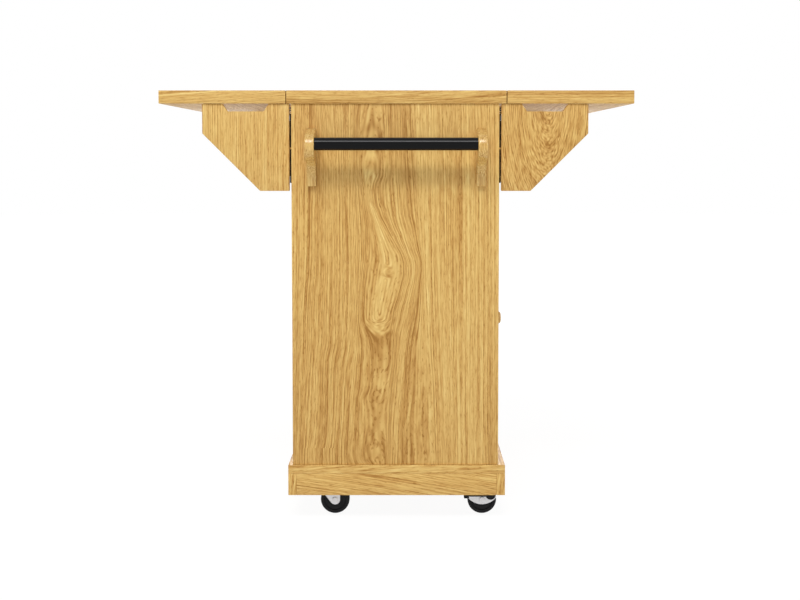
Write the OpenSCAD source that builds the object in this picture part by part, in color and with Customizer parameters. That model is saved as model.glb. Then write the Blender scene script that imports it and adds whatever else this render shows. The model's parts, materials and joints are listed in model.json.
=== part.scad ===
// Drop leaf kitchen island: an oak cabinet on swivel casters with a fixed worktop, two
// drop leaves carried by fold-out brackets, two doors and a towel rail.
// X runs across the island with the doors at +X, Y runs along it with the towel rail
// at -Y, and Z is up from the floor. Near means -Y, far means +Y.

/* [Worktop and leaves] */
// Height of the worktop above the floor
worktop_height = 928; // [915:1:960]
// Length of the worktop and of each leaf
worktop_length = 900; // [860:5:1000]
// Width of the fixed part of the worktop
worktop_width = 469; // [462:1:490]
// Thickness of the worktop and of each leaf
worktop_thickness = 28; // [26:1:32]
// Width of each drop leaf
leaf_width = 270; // [240:5:300]
// Gap between the worktop and a leaf
leaf_gap = 1.5; // [1:0.5:2.5]

/* [Cabinet] */
// Thickness of the cabinet boards
board = 18; // [16:1:20]
// How far the worktop and plinth stand past the end panels
end_overhang = 4; // [2:1:24]
// How far the worktop stands past the front of the cabinet
front_overhang = 15; // [12:0.5:18]
// How far the worktop stands past the back of the cabinet
back_overhang = 10; // [8:0.5:14]
// Height of the fixed front apron above the doors
apron_height = 274; // [250:0.5:290]
// Height of the shelf's underside above the floor
shelf_height = 372; // [340:1:420]
// Eased edge on every board
ease = 1; // [0.5:0.25:1.5]

/* [Plinth] */
// Height of the plinth's lower edge above the floor
plinth_clearance = 55.5; // [50:0.5:56]
// Height of the skirt boards under the base board
skirt_height = 48; // [46:1:60]

/* [Fold-out brackets] */
// Width and height of a bracket board
bracket_size = 185.5; // [170:0.5:200]
// Length of the bracket's short outer and lower edges
bracket_edge = 63; // [50:1:80]
// Thickness of a bracket board
bracket_board = 12; // [10:1:13]
// Width of the hand notch at its mouth
notch_mouth = 98; // [80:1:110]
// Width of the hand notch at its floor
notch_floor = 77; // [60:1:80]
// Depth of the hand notch
notch_depth = 16; // [12:1:20]
// Clearance between a bracket and the leaf above it
bracket_clearance = 0.4; // [0.3:0.1:1]

/* [Towel rail] */
// Clear length of bar between the two arms
rail_clear = 342; // [300:1:360]
// Thickness of an arm
arm_thickness = 20; // [16:1:24]
// How far an arm reaches from the end panel
arm_reach = 80; // [76:1:90]
// Height of an arm's foot on the end panel
arm_foot_height = 123.5; // [116:0.5:130]
// Diameter of the bar
bar_diameter = 27; // [22:1:28]

/* [Doors] */
// Gap at the top, bottom and meeting edges of the doors
door_gap = 3; // [2:0.5:4]
// Height of the knobs above the floor
knob_height = 390; // [300:5:450]
// Diameter of a knob
knob_diameter = 30; // [26:1:34]
// How far a knob stands from its door
knob_reach = 34; // [28:1:36]

/* [Casters] */
// Diameter of a caster wheel
wheel_diameter = 63.5; // [60:0.5:64]
// Width of a caster wheel
wheel_width = 20; // [18:0.5:20]
// Distance from a caster's swivel axis to its axle
trail = 25.7; // [24:0.1:26]
// Distance of the swivel axes from the island's middle, across
caster_x = 162; // [150:1:162]
// Distance of the swivel axes from the ends of the plinth
caster_inset = 66; // [66:1:80]

/* [Hidden] */

$fn = 64;
oak = [0.82, 0.65, 0.38];
oak_light = [0.86, 0.70, 0.43];
black = [0.08, 0.08, 0.09];
zinc = [0.78, 0.79, 0.80];
steel = [0.62, 0.63, 0.65];

// The two sides across the island, the two along it, and a small cut allowance
FRONT = 1;
BACK = -1;
NEAR = -1;
FAR = 1;
cut = 1;

// Main faces, measured from the middle of the island and from the floor
half_width = worktop_width / 2;
half_length = worktop_length / 2;
top_under = worktop_height - worktop_thickness;
joint_x = half_width + leaf_gap / 2;
front_x = half_width - front_overhang;
back_x = -(half_width - back_overhang);
end_y = half_length - end_overhang;
inner_y = end_y - board;
base_z = plinth_clearance + skirt_height;
cabinet_z = base_z + board;
apron_z = top_under - apron_height;

// The rail reaches past the worktop at one end only, so the island's middle is moved
// along Y to bring the middle of the whole object to the origin
centre_y = (arm_reach - end_overhang) / 2;

// Shelf pins and their holes
pin_radius = 2.5;
pin_depth = 8;
pin_step = 64;
pin_xs = [-150, 135];
shelf_gap = 1;
shelf_front_x = front_x - board - 12;

// Cleats that fasten the worktop
cleat_height = 30;
cleat_end_gap = 8;

// Towel arm outline: a round head on a tall foot, with a hollow underside
arm_foot_top = top_under - 52.5;
arm_foot_z = arm_foot_top - arm_foot_height;
head_radius = 28;
head_u = arm_reach - head_radius;
head_z = arm_foot_z + 84;
foot_u = 10;
hollow_radius = head_u - foot_u;
bar_u = 60;
bar_z = head_z + 6;
bar_socket = 8;
bar_wall = 1.5;
bar_play = 0.05;

// Doors, closed flush with the end panels' front edges
door_side_gap = 4;
door_z = cabinet_z + door_gap;
door_top = apron_z - door_gap + 1;
door_height = door_top - door_z;
door_width = inner_y - door_side_gap - door_gap / 2;
door_inner_x = front_x - board;
knob_from_edge = 35;
catch_size = [11, 46, 40];
catch_step = 1.3;
strike_size = [1, 30, 14];

// Upright butt hinges: gap between the boards, plate and knuckle sizes
bracket_hinge_gap = 4.2;
bracket_hinge = [72, 24, 1.5, 2, 1];
bracket_hinge_apart = 76;
bracket_hinge_z = top_under - 95;
door_hinge = [60, 15, 1.2, 1.7, 0.8];
door_hinge_inset = 90;
pin_play = 0.05;
knuckle_play = 0.4;
knuckle_count = 5;

// Flap hinges under the leaves
flap_length = 50;
flap_plate = 1.5;
flap_radius = 3.5;
flap_pin = 1.5;
flap_inner = 26;
flap_outer = 40;
flap_ys = [-185, 0, 185];
flap_z = top_under - flap_radius;
flap_notch_play = 1;

// Casters, each in its own frame with the swivel axis at x = 0, y = 0
wheel_radius = wheel_diameter / 2;
block_thickness = 18;
block_size = [106, 100];
plate_size = [70, 60, 2.5];
plate_z = base_z - block_thickness - plate_size[2];
race_radius = 20;
crown_radius = 22;
crown_thickness = 2.5;
crown_top = plate_z - 6;
running_gap = 0.3;
kingpin_radius = 4;
kingpin_head = [7, 2.7];
screw_radius = 2.2;
screw_head = [4.4, 2];
screw_length = 14;
screw_at = [27, 22];
leg_inner = 11;
leg_thickness = 2.5;
leg_tip = 11;
axle_radius = 4;
nut_radius = 6.4;
nut_height = 3.5;
lens = [trail, wheel_radius + 29.5];
lens_radius = 40;
shoulder = [7, wheel_radius + 28.25];
brake_leg_front = -9.5;

// Brake pedal: pivot pin, the inner face and thickness of its side plates, and then the
// side plates' bar, front foot, ear and rear lobe, the foot pads and the brake shoe
pedal_pin = [2, 60];
pedal_pin_radius = 2;
pedal_pin_head = [3.2, 1];
pedal_side = [17.6, 2.5];
pedal_front = -14;
pedal_bar_z = [40, 53];
pedal_bar_length = 69;
pedal_foot = [11, 36];
pedal_ear_radius = 5;
pedal_ear_base = [-6, 14];
pedal_lobe = [44.3, 44];
pedal_lobe_radius = 11;
pad_x = 36;
pad_size = [18, 8, 2.5];
pad_top = 54.4;
shoe_x = 9;
shoe_z = 64.5;
shoe_size = [5, 3];
wheel_names = [[FRONT, NEAR], [FRONT, FAR], [BACK, NEAR], [BACK, FAR]];

// Where the tangent from point p meets the circle of radius r round c, on its left (-1)
// or right (+1) side as seen from p
function tangent(p, c, r, side) =
  let (d = c - p, a = atan2(d[1], d[0]), h = asin(r / norm(d)), l = sqrt(d * d - r * r))
  p + l * [cos(a + side * h), sin(a + side * h)];

// Points of an arc round c, from one angle to another
function arc(c, r, from, to, steps = 6) =
  [for (i = [0 : steps]) let (a = from + (to - from) * i / steps) c + r * [cos(a), sin(a)]];

module at_island() {
  translate([0, centre_y, 0]) children();
}

// A board from one corner to the opposite one, with all its edges eased
module panel(low, high) {
  size = high - low;
  translate(low)
    intersection() {
      linear_extrude(size[2]) eased_rectangle(size[0], size[1]);
      translate([size[0], 0, 0]) rotate([0, -90, 0])
        linear_extrude(size[0]) eased_rectangle(size[2], size[1]);
      translate([0, size[1], 0]) rotate([90, 0, 0])
        linear_extrude(size[1]) eased_rectangle(size[0], size[2]);
    }
}

module eased_rectangle(a, b) {
  polygon([
    [ease, 0], [a - ease, 0], [a, ease], [a, b - ease],
    [a - ease, b], [ease, b], [0, b - ease], [0, ease]
  ]);
}

// The same board at the near or far end of the island
module at_end(end) {
  mirror([0, end == NEAR ? 1 : 0, 0]) children();
}

/* Worktop and leaves */

module worktop() {
  color(oak) at_island()
    panel([-half_width, -half_length, top_under], [half_width, half_length, worktop_height]);
}

module leaf(side) {
  color(oak) at_island() mirror([side == BACK ? 1 : 0, 0, 0])
    panel(
      [half_width + leaf_gap, -half_length, top_under],
      [half_width + leaf_gap + leaf_width, half_length, worktop_height]
    );
}

/* Cabinet */

module end_panel(end) {
  color(oak) at_island() at_end(end)
    difference() {
      panel([back_x, inner_y, cabinet_z], [front_x, end_y, top_under]);
      for (x = pin_xs, step = [-1 : 1])
        translate([x, inner_y - cut, shelf_height - pin_radius + step * pin_step])
          rotate([-90, 0, 0]) cylinder(r = pin_radius, h = pin_depth + cut);
    }
}

// Notches in a top edge that let the flap hinges' plates in
module flap_notches(x) {
  for (y = flap_ys)
    translate([
      x - cut, y - flap_length / 2 - flap_notch_play, top_under - flap_plate
    ])
      cube([board + 2 * cut, flap_length + 2 * flap_notch_play, flap_plate + cut]);
}

module back_panel() {
  color(oak) at_island()
    difference() {
      panel([back_x, -inner_y, cabinet_z], [back_x + board, inner_y, top_under]);
      flap_notches(back_x);
    }
}

module front_apron() {
  color(oak) at_island()
    difference() {
      panel([front_x - board, -inner_y, apron_z], [front_x, inner_y, top_under]);
      flap_notches(front_x - board);
    }
}

module top_cleats() {
  color(oak_light) at_island()
    for (end = [NEAR, FAR]) at_end(end)
      panel(
        [back_x + board + cleat_end_gap, inner_y - board, top_under - cleat_height],
        [front_x - board - cleat_end_gap, inner_y, top_under]
      );
}

module shelf() {
  color(oak_light) at_island()
    panel(
      [back_x + board + shelf_gap, -inner_y + shelf_gap, shelf_height],
      [shelf_front_x, inner_y - shelf_gap, shelf_height + board]
    );
}

module shelf_pins() {
  color(steel) at_island()
    for (end = [NEAR, FAR], x = pin_xs) at_end(end)
      translate([x, inner_y - pin_depth, shelf_height - pin_radius])
        rotate([-90, 0, 0]) cylinder(r = pin_radius, h = 2 * pin_depth);
}

/* Plinth */

module base_board() {
  color(oak) at_island()
    panel([-half_width, -half_length, base_z], [half_width, half_length, cabinet_z]);
}

module long_skirt(side) {
  color(oak) at_island() mirror([side == BACK ? 1 : 0, 0, 0])
    panel(
      [half_width - board, -half_length, plinth_clearance],
      [half_width, half_length, base_z]
    );
}

module end_skirt(end) {
  color(oak) at_island() at_end(end)
    panel(
      [-half_width + board, half_length - board, plinth_clearance],
      [half_width - board, half_length, base_z]
    );
}

module plinth_corner_blocks() {
  color(oak_light) at_island()
    for (at = wheel_names)
      difference() {
        mirror([at[0] == BACK ? 1 : 0, 0, 0]) at_end(at[1])
          panel(
            [
              half_width - board - block_size[0], half_length - board - block_size[1],
              base_z - block_thickness
            ],
            [half_width - board, half_length - board, base_z]
          );
        translate([at[0] * caster_x, at[1] * (half_length - caster_inset), 0])
          screw_shanks(screw_length + cut);
      }
}

/* Towel rail */

// Outline of an arm, with u away from the end panel and v up from the foot
module arm_outline() {
  head = [head_u, head_z - arm_foot_z];
  brow = tangent([foot_u, arm_foot_height], head, head_radius, 1);
  difference() {
    union() {
      polygon([
        [0, 0], [foot_u, 0], [head_u, head[1] - head_radius - hollow_radius],
        head, brow, [foot_u, arm_foot_height], [0, arm_foot_height]
      ]);
      square([head_u, head[1]]);
      translate(head) circle(r = head_radius);
    }
    translate([head_u, head[1] - head_radius - hollow_radius]) circle(r = hollow_radius);
    translate([foot_u, -cut])
      square([arm_reach, head[1] - head_radius - hollow_radius + cut]);
  }
}

// The arm on the left (-1) or right (+1) of the rail as one faces it
module towel_arm(side) {
  color(oak_light) at_island()
    difference() {
      translate([
        side * (rail_clear + arm_thickness) / 2 + arm_thickness / 2, -end_y, arm_foot_z
      ])
        rotate([90, 0, -90]) linear_extrude(arm_thickness) arm_outline();
      bar_run(rail_clear + 2 * bar_socket, bar_diameter / 2 + bar_play);
    }
}

module bar_run(length, radius) {
  translate([-length / 2, -end_y - bar_u, bar_z])
    rotate([0, 90, 0]) cylinder(r = radius, h = length);
}

module towel_bar() {
  color(black) at_island()
    difference() {
      bar_run(rail_clear + 2 * bar_socket, bar_diameter / 2);
      bar_run(rail_clear + 2 * bar_socket + 2 * cut, bar_diameter / 2 - bar_wall);
    }
}

/* Doors */

module door(end) {
  color(oak) at_island() at_end(end)
    panel([door_inner_x, door_gap / 2, door_z], [front_x, door_gap / 2 + door_width, door_top]);
}

module knob(end) {
  stem = knob_diameter * 0.27;
  foot = knob_diameter * 0.36;
  brim = knob_diameter / 2;
  color(oak_light) at_island() at_end(end)
    translate([front_x, door_gap / 2 + knob_from_edge, knob_height])
      rotate([0, 90, 0])
        rotate_extrude()
          polygon(concat(
            [[0, 0], [foot, 0], [foot, 2], [stem, 6], [stem, knob_reach * 0.4]],
            arc([brim - 3, knob_reach * 0.62], 3, -45, 0, 3),
            arc([brim - 5, knob_reach - 6], 5, 0, 70),
            [[brim * 0.4, knob_reach - 0.2], [0, knob_reach]]
          ));
}

module door_catches() {
  color(steel) at_island()
    for (end = [NEAR, FAR]) at_end(end)
      difference() {
        translate([
          door_inner_x - catch_size[0], knob_from_edge - catch_size[1] / 2,
          door_top - catch_size[2] / 2
        ])
          cube(catch_size);
        translate([
          door_inner_x - catch_step, knob_from_edge - catch_size[1], door_top - catch_size[2]
        ])
          cube([2 * catch_step, 2 * catch_size[1], catch_size[2] + door_gap - 1]);
      }
}

module door_strike(end) {
  color(zinc) at_island() at_end(end)
    translate([
      door_inner_x - strike_size[0], knob_from_edge - strike_size[1] / 2,
      door_top - 2 - strike_size[2]
    ])
      cube(strike_size);
}

/* Fold-out brackets */

// A bracket's own frame has the hinge pin at x = 0, y = 0, with x outwards from the
// cabinet and y towards the middle of the island
module at_bracket(side, end) {
  face = side == FRONT ? front_x : -back_x;
  translate([
    side * (face + bracket_hinge_gap / 2),
    end * (end_y - bracket_board - bracket_hinge_gap / 2), 0
  ])
    mirror([side == BACK ? 1 : 0, 0, 0]) mirror([0, end == FAR ? 1 : 0, 0]) children();
}

// Outline of a bracket, with a 45 degree corner and a hand notch in its top edge
module bracket_outline() {
  s = bracket_size;
  e = bracket_edge;
  middle = s / 2;
  polygon([
    [ease, 0], [e, 0], [s, s - e], [s, s - ease], [s - ease, s],
    [middle + notch_mouth / 2 + ease, s], [middle + notch_mouth / 2 - ease, s - 2 * ease],
    [middle + notch_floor / 2 + 1.5, s - notch_depth + 2],
    [middle + notch_floor / 2 - 2, s - notch_depth],
    [middle - notch_floor / 2 + 2, s - notch_depth],
    [middle - notch_floor / 2 - 1.5, s - notch_depth + 2],
    [middle - notch_mouth / 2 + ease, s - 2 * ease], [middle - notch_mouth / 2 - ease, s],
    [ease, s], [0, s - ease], [0, ease]
  ]);
}

module bracket(side, end) {
  color(oak_light) at_island() at_bracket(side, end)
    translate([
      bracket_hinge_gap / 2, -bracket_hinge_gap / 2,
      top_under - bracket_clearance - bracket_size
    ])
      rotate([90, 0, 0]) linear_extrude(bracket_board) bracket_outline();
}

/* Upright hinges */

// One leaf of a butt hinge whose plates lie along +y when it is shut. spec holds its
// height, plate width, plate thickness, knuckle radius and pin radius. The fixed leaf's
// plate lies at -x, and the moving leaf's plate, at +x, is turned by the angle open.
module butt_leaf(spec, gap, moving, open = 0) {
  height = spec[0];
  thickness = spec[2];
  radius = spec[3];
  pitch = height / knuckle_count;
  start = radius + running_gap;
  plate_x = moving ? gap / 2 - thickness : -gap / 2;
  rotate([0, 0, -open])
    difference() {
      union() {
        translate([plate_x, start, 0]) cube([thickness, spec[1] - start, height]);
        for (i = [moving ? 1 : 0 : 2 : knuckle_count - 1])
          translate([0, 0, i * pitch + knuckle_play / 2]) {
            cylinder(r = radius, h = pitch - knuckle_play);
            translate([plate_x, 0, 0])
              cube([thickness, start + ease, pitch - knuckle_play]);
          }
      }
      translate([0, 0, -cut]) cylinder(r = spec[4] + pin_play, h = height + 2 * cut);
    }
}

// The two hinges of one bracket, one above the other
module bracket_hinges() {
  for (i = [-1, 0])
    translate([0, 0, bracket_hinge_z + i * bracket_hinge_apart + 2]) children();
}

module bracket_hinge_fixed_leaves() {
  color(black) at_island()
    for (at = wheel_names) at_bracket(at[0], at[1]) bracket_hinges()
      butt_leaf(bracket_hinge, bracket_hinge_gap, false);
}

module bracket_hinge_leaves(side, end) {
  color(black) at_island() at_bracket(side, end) bracket_hinges()
    butt_leaf(bracket_hinge, bracket_hinge_gap, true, 90);
}

// The pins of one door's two hinges stand in the gap between the door and its end panel
module at_door_hinges(end) {
  at_end(end)
    translate([front_x - door_side_gap / 2, inner_y - door_side_gap / 2, 0])
      mirror([0, 1, 0]) rotate([0, 0, 90])
        for (z = [door_z + door_hinge_inset, door_top - door_hinge_inset - door_hinge[0]])
          translate([0, 0, z]) children();
}

module door_hinge_fixed_leaves() {
  color(black) at_island()
    for (end = [NEAR, FAR]) at_door_hinges(end) butt_leaf(door_hinge, door_side_gap, false);
}

module door_hinge_leaves(end) {
  color(black) at_island() at_door_hinges(end) butt_leaf(door_hinge, door_side_gap, true);
}

/* Flap hinges under the leaves */

// One leaf of a flap hinge lying flat, with its pin along y through x = 0, z = 0
module flap_leaf(width, moving) {
  pitch = flap_length / knuckle_count;
  start = flap_radius + running_gap;
  mirror([moving ? 0 : 1, 0, 0])
    difference() {
      union() {
        translate([start, -flap_length / 2, flap_radius - flap_plate])
          cube([width - start, flap_length, flap_plate]);
        for (i = [moving ? 1 : 0 : 2 : knuckle_count - 1])
          translate([0, i * pitch + knuckle_play / 2 - flap_length / 2, 0]) {
            rotate([-90, 0, 0]) cylinder(r = flap_radius, h = pitch - knuckle_play);
            translate([0, 0, flap_radius - flap_plate])
              cube([start + ease, pitch - knuckle_play, flap_plate]);
          }
      }
      translate([0, -flap_length / 2 - cut, 0]) rotate([-90, 0, 0])
        cylinder(r = flap_pin + pin_play, h = flap_length + 2 * cut);
    }
}

module at_flaps(side) {
  mirror([side == BACK ? 1 : 0, 0, 0])
    for (y = flap_ys) translate([joint_x, y, flap_z]) children();
}

module leaf_hinge_fixed_leaves() {
  color(black) at_island()
    for (side = [FRONT, BACK]) at_flaps(side) flap_leaf(flap_inner, false);
}

module leaf_hinge_leaves(side) {
  color(black) at_island() at_flaps(side) flap_leaf(flap_outer, true);
}

module hinge_pins() {
  color(steel) at_island() {
    for (at = wheel_names) at_bracket(at[0], at[1]) bracket_hinges()
      cylinder(r = bracket_hinge[4], h = bracket_hinge[0]);
    for (end = [NEAR, FAR]) at_door_hinges(end)
      cylinder(r = door_hinge[4], h = door_hinge[0]);
    for (side = [FRONT, BACK]) at_flaps(side)
      translate([0, -flap_length / 2, 0]) rotate([-90, 0, 0])
        cylinder(r = flap_pin, h = flap_length);
  }
}

/* Casters */

module at_caster(side, end) {
  translate([side * caster_x, end * (half_length - caster_inset), 0]) children();
}

module screw_shanks(length) {
  for (x = [-1, 1], y = [-1, 1])
    translate([x * screw_at[0], y * screw_at[1], plate_z - cut])
      cylinder(r = screw_radius, h = length + plate_size[2]);
}

// Top plate with its race and kingpin
module caster_plates() {
  color(zinc) at_island()
    for (at = wheel_names) at_caster(at[0], at[1]) {
      difference() {
        translate([-plate_size[0] / 2, -plate_size[1] / 2, plate_z]) cube(plate_size);
        screw_shanks(screw_length);
      }
      translate([0, 0, crown_top + running_gap])
        cylinder(r = race_radius, h = plate_z - crown_top - running_gap);
      translate([0, 0, crown_top - crown_thickness - running_gap - kingpin_head[1]]) {
        cylinder(r = kingpin_radius, h = 12);
        cylinder(r = kingpin_head[0], h = kingpin_head[1]);
      }
    }
}

module caster_screws() {
  color(zinc) at_island()
    for (at = wheel_names) at_caster(at[0], at[1])
      for (x = [-1, 1], y = [-1, 1])
        translate([x * screw_at[0], y * screw_at[1], plate_z]) {
          cylinder(r = screw_radius, h = screw_length + plate_size[2] - cut);
          translate([0, 0, -screw_head[1]]) cylinder(r = screw_head[0], h = screw_head[1]);
        }
}

// Side outline of a plain fork leg: straight down behind the axle, slanted before it
module plain_leg() {
  hub = [trail, wheel_radius];
  corner = [-crown_radius + 1, crown_top - 3];
  polygon([
    [corner[0], crown_top], [crown_radius - 6, crown_top],
    [trail + leg_tip, wheel_radius + 20], [trail + leg_tip, wheel_radius],
    hub, tangent(corner, hub, leg_tip, -1), corner
  ]);
  translate(hub) circle(r = leg_tip);
}

// Side outline of a fork leg that carries a brake: a wide plate with a round lower edge,
// lowered behind the crown to let the brake shoe pass
module brake_leg() {
  intersection() {
    union() {
      translate(lens) circle(r = lens_radius);
      translate([-2 * crown_radius, lens[1]]) square([4 * crown_radius, crown_radius]);
    }
    polygon([
      [brake_leg_front, 0], [2 * lens_radius, 0],
      [trail + wheel_radius + 8, lens[1] - 23], [trail + leg_tip, shoulder[1]], shoulder,
      [shoulder[0], crown_top], [-crown_radius + 1, crown_top],
      [-crown_radius + 1, crown_top - 3], [brake_leg_front, lens[1] - 4]
    ]);
  }
}

// Turns an outline in x and z into a plate from y = inner outwards, on both sides
module side_plates(inner, thickness) {
  for (side = [0, 1]) mirror([0, side, 0])
    translate([0, inner + thickness, 0]) rotate([90, 0, 0])
      linear_extrude(thickness) children();
}

module cross_hole(at, radius) {
  translate([at[0], -half_width, at[1]]) rotate([-90, 0, 0])
    cylinder(r = radius, h = worktop_width);
}

module caster_fork(side, end) {
  braked = side == FRONT;
  color(zinc) at_island() at_caster(side, end)
    difference() {
      union() {
        translate([0, 0, crown_top - crown_thickness])
          cylinder(r = crown_radius, h = crown_thickness);
        translate([
          -crown_radius + 1, -leg_inner - leg_thickness, crown_top - crown_thickness
        ])
          cube([2 * crown_radius - 7, 2 * (leg_inner + leg_thickness), crown_thickness]);
        side_plates(leg_inner, leg_thickness) {
          if (braked) brake_leg();
          else plain_leg();
        }
      }
      cylinder(r = kingpin_radius + pin_play, h = plate_z);
      cross_hole([trail, wheel_radius], axle_radius + pin_play);
      if (braked) cross_hole(pedal_pin, pedal_pin_radius + pin_play);
    }
}

module caster_wheel(side, end) {
  half = wheel_width / 2 - 0.5;
  shoulder = 3;
  color(black) at_island() at_caster(side, end)
    translate([trail, 0, wheel_radius]) rotate([90, 0, 0])
      rotate_extrude()
        polygon(concat(
          [
            [axle_radius + pin_play, -leg_inner + running_gap],
            [9, -leg_inner + running_gap], [10.5, -half + 3],
            [wheel_radius - 9, -half + 2.5], [wheel_radius - 7.5, -half]
          ],
          arc([wheel_radius - shoulder, -half + shoulder], shoulder, -90, 0),
          arc([wheel_radius - shoulder, half - shoulder], shoulder, 0, 90),
          [
            [wheel_radius - 7.5, half], [wheel_radius - 9, half - 2.5],
            [10.5, half - 3], [9, leg_inner - running_gap],
            [axle_radius + pin_play, leg_inner - running_gap]
          ]
        ));
}

// Axle bolt with its head and nut, and on the braked casters the pedal's pivot pin
module caster_bolts(side, end) {
  leg_outer = leg_inner + leg_thickness;
  pedal_outer = pedal_side[0] + pedal_side[1];
  color(steel) at_island() at_caster(side, end) {
    translate([trail, 0, wheel_radius]) rotate([90, 0, 0]) {
      cylinder(r = axle_radius, h = 2 * leg_outer, center = true);
      for (face = [0, 1]) mirror([0, 0, face])
        translate([0, 0, leg_outer]) cylinder(r = nut_radius, h = nut_height, $fn = 6);
    }
    if (side == FRONT)
      translate([pedal_pin[0], 0, pedal_pin[1]]) rotate([90, 0, 0]) {
        cylinder(r = pedal_pin_radius, h = 2 * (pedal_outer + running_gap), center = true);
        for (face = [0, 1]) mirror([0, 0, face]) {
          translate([0, 0, leg_outer])
            cylinder(r = 2 * pedal_pin_radius, h = pedal_side[0] - leg_outer - running_gap);
          translate([0, 0, pedal_outer + running_gap])
            cylinder(r = pedal_pin_head[0], h = pedal_pin_head[1]);
        }
      }
  }
}

// Side outline of the brake pedal, outside the fork: a bar with a front foot, a rear
// lobe and an ear round the pivot
module pedal_outline() {
  bar_rise = pedal_bar_z[1] - pedal_bar_z[0];
  difference() {
    union() {
      translate([pedal_front, pedal_bar_z[0]]) square([pedal_bar_length, bar_rise]);
      translate([pedal_front, pedal_foot[1]]) square([pedal_foot[0], bar_rise]);
      translate(pedal_lobe) circle(r = pedal_lobe_radius);
      polygon([
        [pedal_ear_base[0], pedal_bar_z[1] - cut], [pedal_ear_base[1], pedal_bar_z[1] - cut],
        pedal_pin + [pedal_ear_radius, 0], pedal_pin - [pedal_ear_radius, 0]
      ]);
      translate(pedal_pin) circle(r = pedal_ear_radius);
    }
    translate([pad_x - cut, pad_top]) square([2 * pedal_lobe_radius, pedal_lobe_radius]);
  }
}

module brake_pedal(end) {
  outer = pedal_side[0] + pedal_side[1];
  shoe_arm = shoe_x - pedal_pin[0] + shoe_size[0];
  color(black) at_island() at_caster(FRONT, end)
    difference() {
      union() {
        side_plates(pedal_side[0], pedal_side[1]) pedal_outline();
        // Front cross bar
        translate([pedal_front, -outer, pedal_foot[1]])
          cube([pedal_side[1], 2 * outer, pedal_bar_z[1] - pedal_foot[1]]);
        // Brake shoe over the wheel, with an arm at each end, and the foot pads
        translate([shoe_x, -outer, shoe_z]) cube([shoe_size[0], 2 * outer, shoe_size[1]]);
        for (side = [0, 1]) mirror([0, side, 0]) {
          translate([pedal_pin[0], pedal_side[0], pedal_pin[1]])
            cube([shoe_arm, pedal_side[1], shoe_z + shoe_size[1] - pedal_pin[1]]);
          translate([pad_x, pedal_side[0], pad_top - pad_size[2]]) cube(pad_size);
        }
      }
      cross_hole(pedal_pin, pedal_pin_radius + pin_play);
    }
}

worktop();
leaf(FRONT);  // leaf_front
leaf(BACK);  // leaf_back
end_panel(NEAR);  // end_panel_near
end_panel(FAR);  // end_panel_far
back_panel();
front_apron();
top_cleats();
shelf();
shelf_pins();
base_board();
long_skirt(FRONT);  // plinth_front
long_skirt(BACK);  // plinth_back
end_skirt(NEAR);  // plinth_end_near
end_skirt(FAR);  // plinth_end_far
plinth_corner_blocks();
towel_arm(-1);  // towel_arm_left
towel_arm(1);  // towel_arm_right
towel_bar();
door(NEAR);  // door_near
door(FAR);  // door_far
knob(NEAR);  // knob_near
knob(FAR);  // knob_far
door_catches();
door_strike(NEAR);  // door_strike_near
door_strike(FAR);  // door_strike_far
bracket(FRONT, NEAR);  // bracket_front_near
bracket(FRONT, FAR);  // bracket_front_far
bracket(BACK, NEAR);  // bracket_back_near
bracket(BACK, FAR);  // bracket_back_far
bracket_hinge_fixed_leaves();
bracket_hinge_leaves(FRONT, NEAR);  // bracket_hinge_leaves_front_near
bracket_hinge_leaves(FRONT, FAR);  // bracket_hinge_leaves_front_far
bracket_hinge_leaves(BACK, NEAR);  // bracket_hinge_leaves_back_near
bracket_hinge_leaves(BACK, FAR);  // bracket_hinge_leaves_back_far
door_hinge_fixed_leaves();
door_hinge_leaves(NEAR);  // door_hinge_leaves_near
door_hinge_leaves(FAR);  // door_hinge_leaves_far
leaf_hinge_fixed_leaves();
leaf_hinge_leaves(FRONT);  // leaf_hinge_leaves_front
leaf_hinge_leaves(BACK);  // leaf_hinge_leaves_back
hinge_pins();
caster_plates();
caster_screws();
caster_fork(FRONT, NEAR);  // caster_fork_front_near
caster_fork(FRONT, FAR);  // caster_fork_front_far
caster_fork(BACK, NEAR);  // caster_fork_back_near
caster_fork(BACK, FAR);  // caster_fork_back_far
caster_wheel(FRONT, NEAR);  // caster_wheel_front_near
caster_wheel(FRONT, FAR);  // caster_wheel_front_far
caster_wheel(BACK, NEAR);  // caster_wheel_back_near
caster_wheel(BACK, FAR);  // caster_wheel_back_far
caster_bolts(FRONT, NEAR);  // caster_bolts_front_near
caster_bolts(FRONT, FAR);  // caster_bolts_front_far
caster_bolts(BACK, NEAR);  // caster_bolts_back_near
caster_bolts(BACK, FAR);  // caster_bolts_back_far
brake_pedal(NEAR);  // brake_pedal_near
brake_pedal(FAR);  // brake_pedal_far
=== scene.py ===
"""Looks of a drop leaf kitchen island: oak veneered boards, a black towel rail, casters.

X runs across the island with the doors at +X, Y along it with the towel rail at -Y, and
Z is up from the floor. Near means -Y and far +Y. Sizes are in millimetres unless a
comment says otherwise, and meshes are made in metres, round the frame's own boxes.
"""

import json
import logging
import math
from collections.abc import Iterable, Sequence
from dataclasses import dataclass, field
from enum import Enum

import bmesh
import bpy
from mathutils import Euler, Matrix, Vector


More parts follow.
